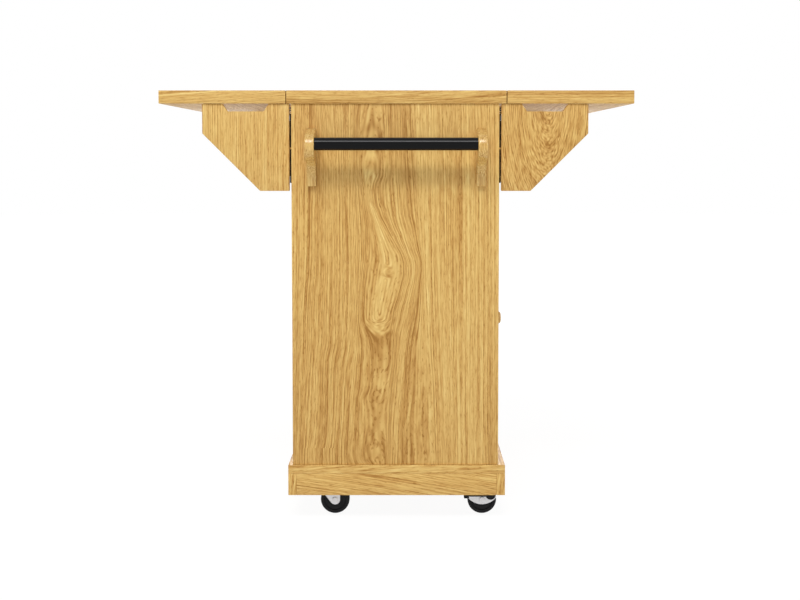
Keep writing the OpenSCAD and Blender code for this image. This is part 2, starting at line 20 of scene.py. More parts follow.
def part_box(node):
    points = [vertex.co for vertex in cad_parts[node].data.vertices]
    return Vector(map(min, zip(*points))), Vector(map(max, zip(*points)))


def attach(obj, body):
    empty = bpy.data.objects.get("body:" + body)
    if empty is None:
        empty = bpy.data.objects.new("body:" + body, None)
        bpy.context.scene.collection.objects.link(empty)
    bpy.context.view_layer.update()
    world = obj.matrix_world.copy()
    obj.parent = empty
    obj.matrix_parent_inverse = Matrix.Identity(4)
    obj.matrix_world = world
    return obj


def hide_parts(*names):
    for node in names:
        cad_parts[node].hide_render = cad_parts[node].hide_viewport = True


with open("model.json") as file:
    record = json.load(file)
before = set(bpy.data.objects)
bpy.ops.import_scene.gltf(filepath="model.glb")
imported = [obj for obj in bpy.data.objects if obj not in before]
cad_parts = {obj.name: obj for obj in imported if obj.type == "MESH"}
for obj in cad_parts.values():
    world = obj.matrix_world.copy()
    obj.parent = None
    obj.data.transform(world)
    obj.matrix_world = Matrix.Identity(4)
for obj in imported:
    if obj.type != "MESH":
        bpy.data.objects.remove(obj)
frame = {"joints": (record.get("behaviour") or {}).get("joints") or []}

LOG = logging.getLogger("island")
MM = 0.001
NEAR, FAR = -1, 1
FRONT, BACK = 1, -1
SIDE_NAMES = {FRONT: "front", BACK: "back"}
END_NAMES = {NEAR: "near", FAR: "far"}
CORNERS = [(side, end) for side in (FRONT, BACK) for end in (NEAR, FAR)]
WHITE = (1.0, 1.0, 1.0, 1.0)


def linear(code: str) -> tuple[float, float, float, float]:
    """Turn an sRGB hex colour into linear light.

    Args:
        code: the colour as "#RRGGBB".

    Returns:
        Red, green, blue and alpha, for a colour socket.
    """
    parts = [int(code[i:i + 2], 16) / 255 for i in (1, 3, 5)]
    light = [c / 12.92 if c <= 0.04045 else ((c + 0.055) / 1.055) ** 2.4 for c in parts]
    return (*light, 1.0)


def add(tree: bpy.types.NodeTree, kind: str, inputs: dict | None = None,
        **settings) -> bpy.types.Node:
    """Add one node with its settings, and fill or link its inputs.

    Args:
        tree: the node tree to add to.
        kind: the node's type, without the ShaderNode it starts with.
        inputs: a value, a socket or a node (its first output) for each input's key.
        **settings: the node's own properties.

    Returns:
        The new node.
    """
    made = tree.nodes.new("ShaderNode" + kind)
    for key, value in settings.items():
        setattr(made, key, value)
    for key, value in (inputs or {}).items():
        if isinstance(value, bpy.types.Node):
            value = value.outputs[0]
        if isinstance(value, bpy.types.NodeSocket):
            tree.links.new(value, made.inputs[key])
        else:
            made.inputs[key].default_value = value
    return made


def cleared(owner: bpy.types.Material | bpy.types.World) -> bpy.types.NodeTree:
    """Turn on the nodes of a new material or world, and empty its node tree.

    Args:
        owner: the material or world.

    Returns:
        Its empty node tree.
    """
    owner.use_nodes = True
    owner.node_tree.nodes.clear()
    return owner.node_tree


def show(thing: bpy.types.Object) -> bpy.types.Object:
    """Put a new object into the scene."""
    bpy.context.scene.collection.objects.link(thing)
    return thing


def corner_name(side: int, end: int) -> str:
    """The name of one of the island's four corners."""
    return f"{SIDE_NAMES[side]}_{END_NAMES[end]}"


class Axis(Enum):
    """The three directions of the frame."""

    X = 0
    Y = 1
    Z = 2


# The turn in degrees that brings a veneer's grain to X and its width to Y, for a grain
# along the first axis and a width across the second
LIES = {
    (Axis.X, Axis.Y): (0, 0, 0),
    (Axis.Y, Axis.X): (0, 0, -90),
    (Axis.X, Axis.Z): (-90, 0, 0),
    (Axis.Z, Axis.X): (90, 0, 90),
    (Axis.Z, Axis.Y): (0, 90, 0),
    (Axis.Y, Axis.Z): (-90, -90, 0),
}


@dataclass(frozen=True)
class Layer:
    """A noise drawn out along the grain, one of the layers of a veneer."""

    along: float
    across: float
    detail: float = 2.0

    def draw(self, tree: bpy.types.NodeTree, place: bpy.types.Node) -> bpy.types.Node:
        """Add the layer's noise.

        Args:
            tree: the node tree to add to.
            place: the node that gives the place on the veneer, in millimetres.

        Returns:
            The noise node.
        """
        stretch = (1 / self.along, 1 / self.across, 1 / self.across)
        drawn = add(tree, "VectorMath", {0: place, 1: stretch}, operation="MULTIPLY")
        return add(tree, "TexNoise", {"Vector": drawn, "Scale": 1.0, "Detail": self.detail})


@dataclass(frozen=True)
class Guide:
    """A line that a board's grain follows: its place in the grain's own measure, and its course
    as height on the board and place across it.
    """

    measure: float
    course: tuple[tuple[float, float], ...]


@dataclass(frozen=True)
class Figure:
    """The figure of one board, from the guides of its grain to its knots.

    Depths of the heart go by height on the board, tones by the grain's own measure. A knot
    has its height and place, how high and wide it is, and how deep its rings dip.
    """

    reach: tuple[float, float]
    guides: tuple[Guide, ...]
    depths: tuple[tuple[float, float], ...]
    tones: tuple[tuple[float, float], ...]
    knots: tuple[tuple[float, float, float, float, float], ...] = ()


@dataclass(frozen=True)
class OakVeneer:
    """Crown cut oak veneer under a satin lacquer, sliced, glued to board and sprayed.

    The eye gets honey coloured wood with darker growth lines that run with the grain and
    close into arches over the heart of the log, fine fibres, short pores and a soft sheen.
    """

    name: str
    grain: Axis = Axis.Z
    width: Axis = Axis.X
    # The board's middle, and where the heart of the log crosses it from there, along the
    # grain and across it
    middle: tuple[float, float, float] = (0.0, 0.0, 0.0)
    heart: tuple[float, float] = (0.0, 0.0)
    slice_shift: float = 0.0
    tilt: float = 0.0
    # Depth of the heart under the board, and how much of it a step along the grain takes
    depth: float = 60.0
    taper: float = 0.06
    # How far apart the growth lines are
    growth: float = 11.0
    # How much the grain wanders, how dark or light it is, and the lacquer's roughness
    wander: float = 0.35
    tone: float = 0.0
    satin: float = 0.46
    figure: Figure | None = None

    def material(self) -> bpy.types.Material:
        """Build the material, or fetch it if it was built before.

        Returns:
            The material.
        """
        made = bpy.data.materials.get(self.name)
        if made:
            return made
        made = bpy.data.materials.new(self.name)
        tree = cleared(made)
        place = add(tree, "TexCoord").outputs["Object"]
        turn = [math.radians(a) for a in LIES[self.grain, self.width]]
        laid = add(tree, "Mapping", {"Vector": place, "Rotation": turn, "Scale": (1 / MM,) * 3})
        middle = Euler(turn).to_matrix() @ Vector(self.middle)
        centred = add(tree, "Mapping", {
            "Vector": laid,
            "Location": middle + Vector((*self.heart, self.slice_shift)),
            "Rotation": (0, 0, math.radians(self.tilt)),
        }, vector_type="TEXTURE")
        spot = add(tree, "SeparateXYZ", {0: centred})
        if self.figure:
            across, depth, tone = self.drawn_figure(tree, spot)
        else:
            across = spot.outputs[1]
            depth = add(tree, "Math", {0: spot.outputs[0], 1: self.taper, 2: self.depth},
                        operation="MULTIPLY_ADD")
        moved = add(tree, "CombineXYZ", {0: spot.outputs[0], 1: across, 2: spot.outputs[2]})
        veneer = tree.nodes.new("ShaderNodeGroup")
        veneer.node_tree = self.group()
        for key, node in (("Place", moved), ("Depth", depth)):
            tree.links.new(node.outputs[0], veneer.inputs[key])
        for key in ("Growth", "Wander", "Tone", "Satin"):
            veneer.inputs[key].default_value = getattr(self, key.lower())
        if self.figure:
            tree.links.new(tone.outputs[0], veneer.inputs["Tone"])
        bump = add(tree, "Bump", {"Strength": 0.35, "Distance": 0.08 * MM,
                                  "Height": veneer.outputs["Height"]})
        # Lacquer: IOR of a clear nitrocellulose or acrylic coat is about 1.5
        shader = add(tree, "BsdfPrincipled", {
            "Base Color": veneer.outputs["Color"], "Roughness": veneer.outputs["Roughness"],
            "IOR": 1.5, "Normal": bump,
        })
        add(tree, "OutputMaterial", {"Surface": shader})
        return made

    def drawn_figure(self, tree: bpy.types.NodeTree, spot: bpy.types.Node) -> tuple:
        """Bend the grain along the figure's guide lines.

        Args:
            tree: the node tree to add to.
            spot: the node that splits the place on the veneer.

        Returns:
            The nodes of the grain's own measure across, of the heart's depth and of the tone.
        """
        figure = self.figure
        lines = [self.curve(tree, spot.outputs[0], guide.course, figure.reach)
                 for guide in figure.guides]
        across = figure.guides[0].measure
        for left, right, near, far in zip(figure.guides, figure.guides[1:], lines, lines[1:]):
            part = add(tree, "MapRange", {0: spot.outputs[1], 1: near, 2: far, 3: 0.0,
                                          4: right.measure - left.measure})
            across = add(tree, "Math", {0: across, 1: part}, operation="ADD")
        depth = self.curve(tree, spot.outputs[0], figure.depths, figure.reach)
        for height, place, high, wide, dip in figure.knots:
            rise, side = (
                add(tree, "MapRange", {
                    0: spot.outputs[i], 1: at - reach, 2: at + reach, 3: -1.0, 4: 1.0,
                })
                for i, at, reach in ((0, height, high), (1, place, wide)))
            apart = add(tree, "VectorMath", {0: add(tree, "CombineXYZ", {0: rise, 1: side})},
                        operation="LENGTH").outputs["Value"]
            knot = add(tree, "MapRange", {0: apart, 1: 0.0, 2: 1.0, 3: dip, 4: 0.0},
                       interpolation_type="SMOOTHSTEP")
            depth = add(tree, "Math", {0: depth, 1: knot}, operation="ADD")
        ends = (figure.guides[0].measure, figure.guides[-1].measure)
        return across, depth, self.curve(tree, across, figure.tones, ends)

    @staticmethod
    def curve(tree: bpy.types.NodeTree, given: bpy.types.Node | bpy.types.NodeSocket,
              rows: Sequence[tuple], reach: tuple) -> bpy.types.Node:
        """Add a smooth curve.

        Args:
            tree: the node tree to add to.
            given: the node or socket whose value runs along the curve.
            rows: each value along it and the curve's height there.
            reach: the values at its ends.

        Returns:
            The node that gives the curve's height.
        """
        low, high = reach
        heights = [value for _, value in rows]
        least, most = min(heights), max(heights) + 0.001
        run = add(tree, "MapRange", {0: given, 1: low, 2: high, 3: 0.0, 4: 1.0})
        curve = add(tree, "FloatCurve", {"Value": run})
        points = curve.mapping.curves[0].points
        while len(points) < len(rows):
            points.new(0.5, 0.5)
        for point, (place, value) in zip(points, sorted(rows)):
            point.location = ((place - low) / (high - low), (value - least) / (most - least))
            point.handle_type = "AUTO"
        curve.mapping.update()
        return add(tree, "MapRange", {0: curve, 3: least, 4: most})

    @staticmethod
    def group() -> bpy.types.NodeTree:
        """Build the shared veneer pattern, or fetch it if it was built before.

        Returns:
            The node group.
        """
        name = "Oak veneer"
        if name in bpy.data.node_groups:
            return bpy.data.node_groups[name]
        tree = bpy.data.node_groups.new(name, "ShaderNodeTree")
        face = tree.interface
        for way, keys in (("INPUT", ("Place", "Depth", "Growth", "Wander", "Tone", "Satin")),
                          ("OUTPUT", ("Color", "Roughness", "Height"))):
            for key in keys:
                kind = {"Place": "Vector", "Color": "Color"}.get(key, "Float")
                face.new_socket(key, in_out=way, socket_type="NodeSocket" + kind)
        given = tree.nodes.new("NodeGroupInput")
        place, depth = given.outputs["Place"], given.outputs["Depth"]
        spot = add(tree, "SeparateXYZ", {0: place})

        # Distance from the heart of the log, with the slow wander of a real trunk
        drift = 0.0
        bends = ((Layer(along=420, across=90, detail=1), 26.0), (Layer(along=110, across=14), 4.0))
        for layer, amount in bends:
            wander = add(tree, "Math", {0: layer.draw(tree, place), 1: 0.5}, operation="SUBTRACT")
            drift = add(tree, "Math", {0: wander, 1: amount, 2: drift}, operation="MULTIPLY_ADD")
        total = add(tree, "Math", {0: drift, 1: given.outputs["Wander"], 2: spot.outputs[1]},
                    operation="MULTIPLY_ADD")
        flat = add(tree, "CombineXYZ", {0: total, 1: depth})
        radius = add(tree, "VectorMath", {0: flat}, operation="LENGTH").outputs["Value"]
        # The two halves of a flat sawn leaf differ, so its layers take the side into account
        side = add(tree, "Math", {0: total, 1: 0.35, 2: spot.outputs[2]}, operation="MULTIPLY_ADD")
        along_rings = add(tree, "CombineXYZ", {0: spot.outputs[0], 1: radius, 2: side})

        # Growth lines: a thin dark line where a year starts, fading out over the year
        years = add(tree, "Math", {0: radius, 1: given.outputs["Growth"]}, operation="DIVIDE")
        uneven = add(tree, "TexNoise", {"W": years, "Scale": 0.43, "Detail": 1.0},
                     noise_dimensions="1D")
        phase = add(tree, "Math", {0: uneven, 1: 3.4, 2: years}, operation="MULTIPLY_ADD")
        year = add(tree, "Math", {0: phase}, operation="FRACT")
        late, early = (
            add(tree, "MapRange", {0: year, **edges}, interpolation_type="SMOOTHSTEP")
            for edges in ({1: 0.0, 2: 0.26, 3: 1.0, 4: 0.0}, {1: 0.9, 2: 1.0, 3: 0.0, 4: 1.0}))
        ring = add(tree, "Math", {0: late, 1: early}, operation="MAXIMUM")
        strength = Layer(along=170, across=11).draw(tree, along_rings)
        shown = add(tree, "MapRange", {0: strength, 1: 0.40, 2: 0.68, 3: 0.05, 4: 1.0})
        rings = add(tree, "Math", {0: ring, 1: shown}, operation="MULTIPLY")

        # Fibres, pores and tone, drawn out along the rings; each layer swings about nought
        total = 0.5
        layers = (
            (Layer(along=26, across=1.9, detail=0), 0.60),
            (Layer(along=420, across=1.8, detail=0), 0.86),
            (Layer(along=520, across=8, detail=1), 0.33),
            (Layer(along=900, across=55, detail=1), 0.26),
        )
        drawn = []
        for layer, amount in layers:
            drawn.append(layer.draw(tree, along_rings))
            swing = add(tree, "Math", {0: drawn[-1], 1: 0.5}, operation="SUBTRACT")
            total = add(tree, "Math", {0: swing, 1: amount, 2: total}, operation="MULTIPLY_ADD")
        total = add(tree, "Math", {0: rings, 1: -0.30, 2: total}, operation="MULTIPLY_ADD")
        pores = Layer(along=9, across=1.3, detail=0).draw(tree, along_rings)
        pore = add(tree, "MapRange", {0: pores, 1: 0.60, 2: 0.72, 3: 0.0, 4: 1.0})
        pored = add(tree, "MapRange", {0: year, 1: 0.0, 2: 0.5, 3: 0.32, 4: 0.13})
        pits = add(tree, "Math", {0: pore, 1: pored}, operation="MULTIPLY")
        total = add(tree, "Math", {0: total, 1: pits}, operation="SUBTRACT")
        toned = add(tree, "Math", {0: total, 1: given.outputs["Tone"]}, operation="ADD")
        # Honey oak in even steps, from its dark late wood to its pale early wood
        ramp = add(tree, "ValToRGB", {0: toned})
        tones = ("#9A6A24", "#BA8C45", "#CFA65D", "#DDBB70", "#E9CE87")
        stops = ramp.color_ramp.elements
        while len(stops) < len(tones):
            stops.new(1.0)
        for i, (stop, tone) in enumerate(zip(stops, tones)):
            stop.position, stop.color = i / (len(tones) - 1), linear(tone)
        dull = add(tree, "MapRange", {0: toned, 1: 0.0, 2: 1.0, 3: 0.06, 4: -0.06})
        matt = add(tree, "Math", {0: dull, 1: given.outputs["Satin"]}, operation="ADD")
        height = add(tree, "Math", {0: pits, 1: -1.0, 2: drawn[0]}, operation="MULTIPLY_ADD")
        out = tree.nodes.new("NodeGroupOutput")
        for key, node in (("Color", ramp), ("Roughness", matt), ("Height", height)):
            tree.links.new(node.outputs[0], out.inputs[key])
        return tree


@dataclass(frozen=True)
class Coating:
    """A finish with one base colour, a fine grain and soft wear in its gloss."""

    name: str
    colour: str
    roughness: float
    metallic: float = 0.0
    # Size of the surface's grain, its depth, how far the gloss varies, and over what size
    grain: float = 0.8
    grain_depth: float = 0.02
    gloss_spread: float = 0.06
    cloud: float = 14.0
    # How much lighter or darker the colour gets in places
    mottle: float = 0.06
    # How strongly it reflects, where 0.5 is a plain clear plastic
    specular: float = 0.5

    def material(self) -> bpy.types.Material:
        """Build the material, or fetch it if it was built before.

        Returns:
            The material.
        """
        made = bpy.data.materials.get(self.name)
        if made:
            return made
        made = bpy.data.materials.new(self.name)
        tree = cleared(made)
        place = add(tree, "TexCoord").outputs["Object"]
        specks, clouds = (
            add(tree, "TexNoise", {
                "Vector": add(tree, "Mapping", {"Vector": place, "Scale": (1 / (size * MM),) * 3}),
                "Scale": 1.0, "Detail": detail,
            }) for size, detail in ((self.grain, 2.0), (self.cloud, 3.0)))
        gloss = add(tree, "MapRange", {
            0: clouds, 1: 0.3, 2: 0.7,
            3: self.roughness - self.gloss_spread, 4: self.roughness + self.gloss_spread,
        })
        shade = add(tree, "MapRange", {
            0: specks, 1: 0.25, 2: 0.75, 3: 1 - self.mottle, 4: 1 + self.mottle,
        })
        base = add(tree, "VectorMath", {0: linear(self.colour)[:3], "Scale": shade},
                   operation="SCALE")
        bump = add(tree, "Bump", {
            "Strength": 0.5, "Distance": self.grain_depth * MM, "Height": specks,
        })
        shader = add(tree, "BsdfPrincipled", {
            "Base Color": base, "Roughness": gloss, "Normal": bump, "Metallic": self.metallic,
            "Specular IOR Level": self.specular,
        })
        add(tree, "OutputMaterial", {"Surface": shader})
        return made


# Polyester powder coat, sprayed dry and baked: near black with a soft highlight
POWDER_BLACK = Coating("powder coat black", "#060607", 0.13, grain=1.6, grain_depth=0.008,
                       gloss_spread=0.02, specular=0.14)
# Cold rolled hinge steel, stamped and blackened: dull black
HINGE_BLACK = Coating("blackened hinge steel", "#15110D", 0.55, grain=1.5, specular=0.15)
# Mild steel, pressed and bright zinc plated: pale grey with a cloudy sheen
ZINC = Coating("zinc plated steel", "#DEDEE0", 0.36, metallic=0.5, grain=6.0, gloss_spread=0.1,
               mottle=0.07)
# Drawn steel rod, oiled: dark grey metal, hardly seen between the knuckles
PIN_STEEL = Coating("oiled steel pin", "#3B3835", 0.4, metallic=1.0, grain=0.6)
# Drawn steel rod, left bright: grey with fine lines along it
BRIGHT_STEEL = Coating("bright drawn steel", "#B9BABD", 0.28, metallic=1.0, grain=0.4)
# Polyamide, injection moulded: black with a dull shine
NYLON_BLACK = Coating("moulded black nylon", "#0E0E10", 0.42, grain=0.6, grain_depth=0.015,
                      specular=0.2)
# Polyamide, injection moulded, off-white: the body of a cupboard catch
NYLON_WHITE = Coating("moulded white nylon", "#D9D5CC", 0.45, grain=0.6)


class Solid:
    """A mesh in the making, in millimetres from the middle of the island on the floor."""

    def __init__(self) -> None:
        """Start an empty mesh."""
        self.bm = bmesh.new()

    def box(self, low: Sequence[float], high: Sequence[float], ease: float = 0.0, segments: int = 2,
            by_axis: bool = False) -> None:
        """Add a box with eased edges.

        Args:
            low: its lowest corner.
            high: its highest corner.
            ease: the radius of its edges.
            segments: how many steps an edge is rounded in.
            by_axis: whether its faces take a material each for X, Y and Z.
        """
        low, high = Vector(low), Vector(high)
        made = bmesh.ops.create_cube(self.bm, size=1.0)["verts"]
        bmesh.ops.scale(self.bm, vec=high - low, verts=made)
        bmesh.ops.translate(self.bm, vec=(low + high) / 2, verts=made)
        if by_axis:
            self.sort_faces({f for v in made for f in v.link_faces})
        if ease:
            self.ease({e for v in made for e in v.link_edges}, ease, segments)

    def sort_faces(self, faces: Iterable) -> None:
        """Give each face the material index of the axis that it points along.

        Args:
            faces: the faces to sort.
        """
        for f in faces:
            f.normal_update()
            f.material_index = max(range(3), key=lambda i: abs(f.normal[i]))

    def take(self, other: "Solid", places: Iterable[Matrix]) -> None:
        """Add copies of another mesh.

        Args:
            other: the mesh to copy.
            places: where each copy goes.
        """
        held = bpy.data.meshes.new("held")
        for place in places:
            other.bm.to_mesh(held)
            held.transform(place)
            if place.is_negative:
                held.flip_normals()
            self.bm.from_mesh(held)
        bpy.data.meshes.remove(held)

    def sink(self, axis: Axis, level: float, shapes: Sequence[Sequence[tuple]],
             depth: float) -> None:
        """Sink blind holes into a flat face.

        Args:
            axis: the axis that the face points along.
            level: where the face lies along it.
            shapes: each hole's outline, in the two other axes.
            depth: how deep the holes are.
        """
        i = axis.value
        flat = [f for f in self.bm.faces
                if abs(f.normal[i]) > 0.99 and abs(f.calc_center_median()[i] - level) < 0.01]
        face = max(flat, key=lambda f: f.calc_area())
        inward, index = -face.normal.copy(), face.material_index
        border, rims = list(face.edges), []
        for shape in shapes:
            spots = []
            for pair in shape:
                spot = list(pair)
                spot.insert(i, level)
                spots.append(self.bm.verts.new(spot))
            rims.append([self.bm.edges.new((a, b)) for a, b in zip(spots, spots[1:] + spots[:1])])
        bmesh.ops.delete(self.bm, geom=[face], context="FACES_ONLY")
        filled = bmesh.ops.triangle_fill(self.bm, use_beauty=True,
                                         edges=border + [e for rim in rims for e in rim])["geom"]
        for rim in rims:
            walls = bmesh.ops.extrude_edge_only(self.bm, edges=rim)["geom"]
            sunk = {g for g in walls if isinstance(g, bmesh.types.BMVert)}
            bmesh.ops.translate(self.bm, vec=inward * depth, verts=list(sunk))
            floor = [g for g in walls if isinstance(g, bmesh.types.BMEdge) and set(g.verts) <= sunk]
            filled += walls + bmesh.ops.edgeloop_fill(self.bm, edges=floor)["faces"]
        for g in filled:
            if isinstance(g, bmesh.types.BMFace):
                g.material_index = index

    def ease(self, edges: Iterable, radius: float, segments: int) -> None:
        """Round edges.

        Args:
            edges: the edges to round.
            radius: how far the rounding reaches from each.
            segments: how many steps it has.
        """
        bmesh.ops.bevel(self.bm, geom=list(edges), offset=radius, offset_type="OFFSET",
                        segments=segments, profile=0.5, affect="EDGES", material=-1,
                        clamp_overlap=True)

    def plate(self, outline: Sequence[tuple[float, float]], across: Axis, low: float, high: float,
              ease: float = 0.0, segments: int = 2, by_axis: bool = False) -> None:
        """Add a plate cut to an outline.

        Args:
            outline: its corners in the two other axes, in their order in the frame.
            across: the axis that its thickness lies along.
            low: where it starts along that axis.
            high: where it ends.
            ease: the radius of its edges.
            segments: how many steps an edge is rounded in.
            by_axis: whether its faces take a material each for X, Y and Z.
        """
        spots = []
        for a, b in outline:
            spot = [a, b]
            spot.insert(across.value, low)
            spots.append(self.bm.verts.new(spot))
        face = self.bm.faces.new(spots)
        made = bmesh.ops.extrude_face_region(self.bm, geom=[face])["geom"]
        lifted = [g for g in made if isinstance(g, bmesh.types.BMVert)]
        step = Vector((0, 0, 0))
        step[across.value] = high - low
        bmesh.ops.translate(self.bm, vec=step, verts=lifted)
        faces = {f for v in (*spots, *lifted) for f in v.link_faces}
        bmesh.ops.recalc_face_normals(self.bm, faces=list(faces))
        if by_axis:
            self.sort_faces(faces)
        if ease:
            sharp = {e for f in faces for e in f.edges if e.calc_face_angle(0) > math.radians(30)}
            self.ease(sharp, ease, segments)

    def rod(self, start: Sequence[float], end: Sequence[float], radius: float, sides: int = 48,
            ease: float = 0.0, tip: float | None = None) -> None:
        """Add a round rod, or a cone, between two points.

        Args:
            start: the middle of its first end.
            end: the middle of its other end.
            radius: its radius.
            sides: how many sides it has.
            ease: the radius of its rims.
            tip: the radius at its other end, if that differs.
        """
        start, end = Vector(start), Vector(end)
        run = end - start
        made = bmesh.ops.create_cone(self.bm, cap_ends=True, segments=sides, radius1=radius,
                                     radius2=radius if tip is None else tip,
                                     depth=run.length)["verts"]
        turn = run.to_track_quat("Z", "Y").to_matrix().to_4x4()
        middle = Matrix.Translation((start + end) / 2)
        bmesh.ops.transform(self.bm, matrix=middle @ turn, verts=made)
        if ease:
            rims = {e for v in made for e in v.link_edges
                    if any(len(f.verts) > 4 for f in e.link_faces)}
            self.ease(rims, ease, 3)

    def turned(self, profile: Sequence[tuple[float, float]], middle: Sequence[float], axis: Axis,
               steps: int = 96) -> None:
        """Add a turned shape.

        Args:
            profile: its outline as radius and place along the axis, from end to end.
            middle: the point of the axis where that place is nought.
            axis: the axis it turns on.
            steps: how many steps the turn has.
        """
        line, spoke = Vector((0, 0, 0)), Vector((0, 0, 0))
        line[axis.value] = 1
        spoke[(axis.value + 1) % 3] = 1
        spots = [self.bm.verts.new(Vector(middle) + spoke * r + line * s) for r, s in profile]
        edges = [self.bm.edges.new(pair) for pair in zip(spots, spots[1:])]
        if profile[0][0] > 0 and profile[-1][0] > 0:
            edges.append(self.bm.edges.new((spots[-1], spots[0])))
        bmesh.ops.spin(self.bm, geom=[*spots, *edges], cent=middle, axis=line, angle=2 * math.pi,
                       steps=steps, use_merge=True, use_duplicate=False)

    def screws(self, radius: float, height: float, places: Iterable[Matrix]) -> None:
        """Add screw heads with a cross recess.

        Args:
            radius: a head's radius.
            height: its height.
            places: where each stands, with its recess at the end of its own Z.
        """
        head = Solid()
        head.rod((0, 0, 0), (0, 0, height), radius, 24, tip=radius * 0.8)
        long, short = radius * 0.5, radius * 0.15
        cross = [Matrix.Rotation(math.pi / 2 * turn, 2) @ Vector(spot)
                 for turn in range(4) for spot in ((long, -short), (long, short), (short, short))]
        head.sink(Axis.Z, height, [[tuple(spot) for spot in cross]], height * 0.6)
        self.take(head, places)

    def finish(self, node: str, made_of: str, body: str, slot: str,
               finishes: Sequence[OakVeneer | Coating], smooth: float = 24.0) -> bpy.types.Object:
        """Turn the mesh into the piece that stands for a node.

        Args:
            node: the node, whose name starts the piece's.
            made_of: the end of the piece's name.
            body: the body that it rides on.
            slot: the record's material slot; not used.
            finishes: a finish for each material index.
            smooth: the angle in degrees under which two faces are shaded as one.

        Returns:
            The piece.
        """
        bm = self.bm
        bmesh.ops.remove_doubles(bm, verts=bm.verts, dist=0.001)
        bmesh.ops.recalc_face_normals(bm, faces=bm.faces)
        bmesh.ops.translate(bm, vec=(0, MIDDLE_Y / MM, 0), verts=bm.verts)
        bmesh.ops.scale(bm, vec=(MM, MM, MM), verts=bm.verts)
        for f in bm.faces:
            f.smooth = True
        for e in bm.edges:
            e.smooth = e.calc_face_angle(0) < math.radians(smooth)
        name = f"{node}_{made_of}"
        mesh = bpy.data.meshes.new(name)
        bm.to_mesh(mesh)
        bm.free()
        for finish in finishes:
            mesh.materials.append(finish.material())
        piece = show(bpy.data.objects.new(name, mesh))
        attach(piece, body)
        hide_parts(node)
        return piece


def span(node: str) -> tuple[Vector, Vector]:
    """A node's lowest and highest corner, in millimetres from the island's middle.

    Args:
        node: the node's name.

    Returns:
        Its lowest and its highest corner.
    """
    low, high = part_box(node)
    shift = Vector((0, MIDDLE_Y, 0))
    return (low - shift) / MM, (high - shift) / MM


def arc(middle: tuple[float, float], radius: float, start: float, end: float,
        steps: int = 8) -> list[tuple[float, float]]:
    """Points of an arc.

    Args:
        middle: its centre.
        radius: its radius.
        start: the angle that it starts at, in degrees.
        end: the angle that it ends at.
        steps: how many steps it has.

    Returns:
        The points, both ends included.
    """
    angles = [math.radians(start + (end - start) * i / steps) for i in range(steps + 1)]
    return [(middle[0] + radius * math.cos(a), middle[1] + radius * math.sin(a)) for a in angles]


def tangent(spot: tuple[float, float], middle: tuple[float, float], radius: float,
            side: int) -> float:
    """The angle in degrees, round a circle's middle, where a line from a spot touches it.

    Args:
        spot: the point outside the circle.
        middle: the circle's middle.
        radius: its radius.
        side: 1 for the line on the left of the middle as seen from the spot, else -1.

    Returns:
        The angle of the touching point.
    """
    back = Vector(spot) - Vector(middle)
    toward = math.degrees(math.atan2(back.y, back.x))
    return toward - side * math.degrees(math.acos(radius / back.length))


# The middle of the island along Y, in metres
MIDDLE_Y = sum(c.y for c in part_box("worktop")) / 2


def veneer_for(grain: Axis, normal: Axis, size: Vector, stem: str, **look) -> OakVeneer:
    """The veneer on a board's faces that point along one axis.

    Args:
        grain: the axis of the board's grain.
        normal: the axis that the faces point along.
        size: the board's size.
        stem: the start of the finish's name.
        **look: the veneer's other fields.

    Returns:
        The finish, with its grain along the faces' longer side where they end the board.
    """
    others = [a for a in Axis if a is not normal]
    if grain is normal:
        along = max(others, key=lambda a: size[a.value])
    else:
        along = grain
    width = next(a for a in others if a is not along)
    return OakVeneer(f"{stem} {along.name}{width.name}".lower(), along, width, **look)


def rounded(corners: Sequence[tuple[float, float, float]], steps: int = 5) -> list[tuple[float, float]]:
    """Points of an outline whose corners are rounded.

    Args:
        corners: each corner's place and its radius, in order round the outline.
        steps: how many steps a rounded corner has.

    Returns:
        The points, in the same order.
    """
    points = []
    for i, (x, y, radius) in enumerate(corners):
        here = Vector((x, y))
        if not radius:
            points.append((x, y))
            continue
        before = (Vector(corners[i - 1][:2]) - here).normalized()
        after = (Vector(corners[(i + 1) % len(corners)][:2]) - here).normalized()
        half = before.angle(after) / 2
        middle = here + (before + after).normalized() * (radius / math.sin(half))
        first = here + before * (radius / math.tan(half)) - middle
        last = here + after * (radius / math.tan(half)) - middle
        start = math.degrees(math.atan2(first.y, first.x))
        turn = (math.degrees(math.atan2(last.y, last.x)) - start + 180) % 360 - 180
        points += arc(tuple(middle), radius, start, start + turn, steps)
    return points


def pivot(joint: str) -> Vector:
    """A joint's place at rest, in millimetres from the island's middle."""
    found = next(j for j in frame["joints"] if j["name"] == joint)
    return (Vector(found["pos_m"]) - Vector((0, MIDDLE_Y, 0))) / MM


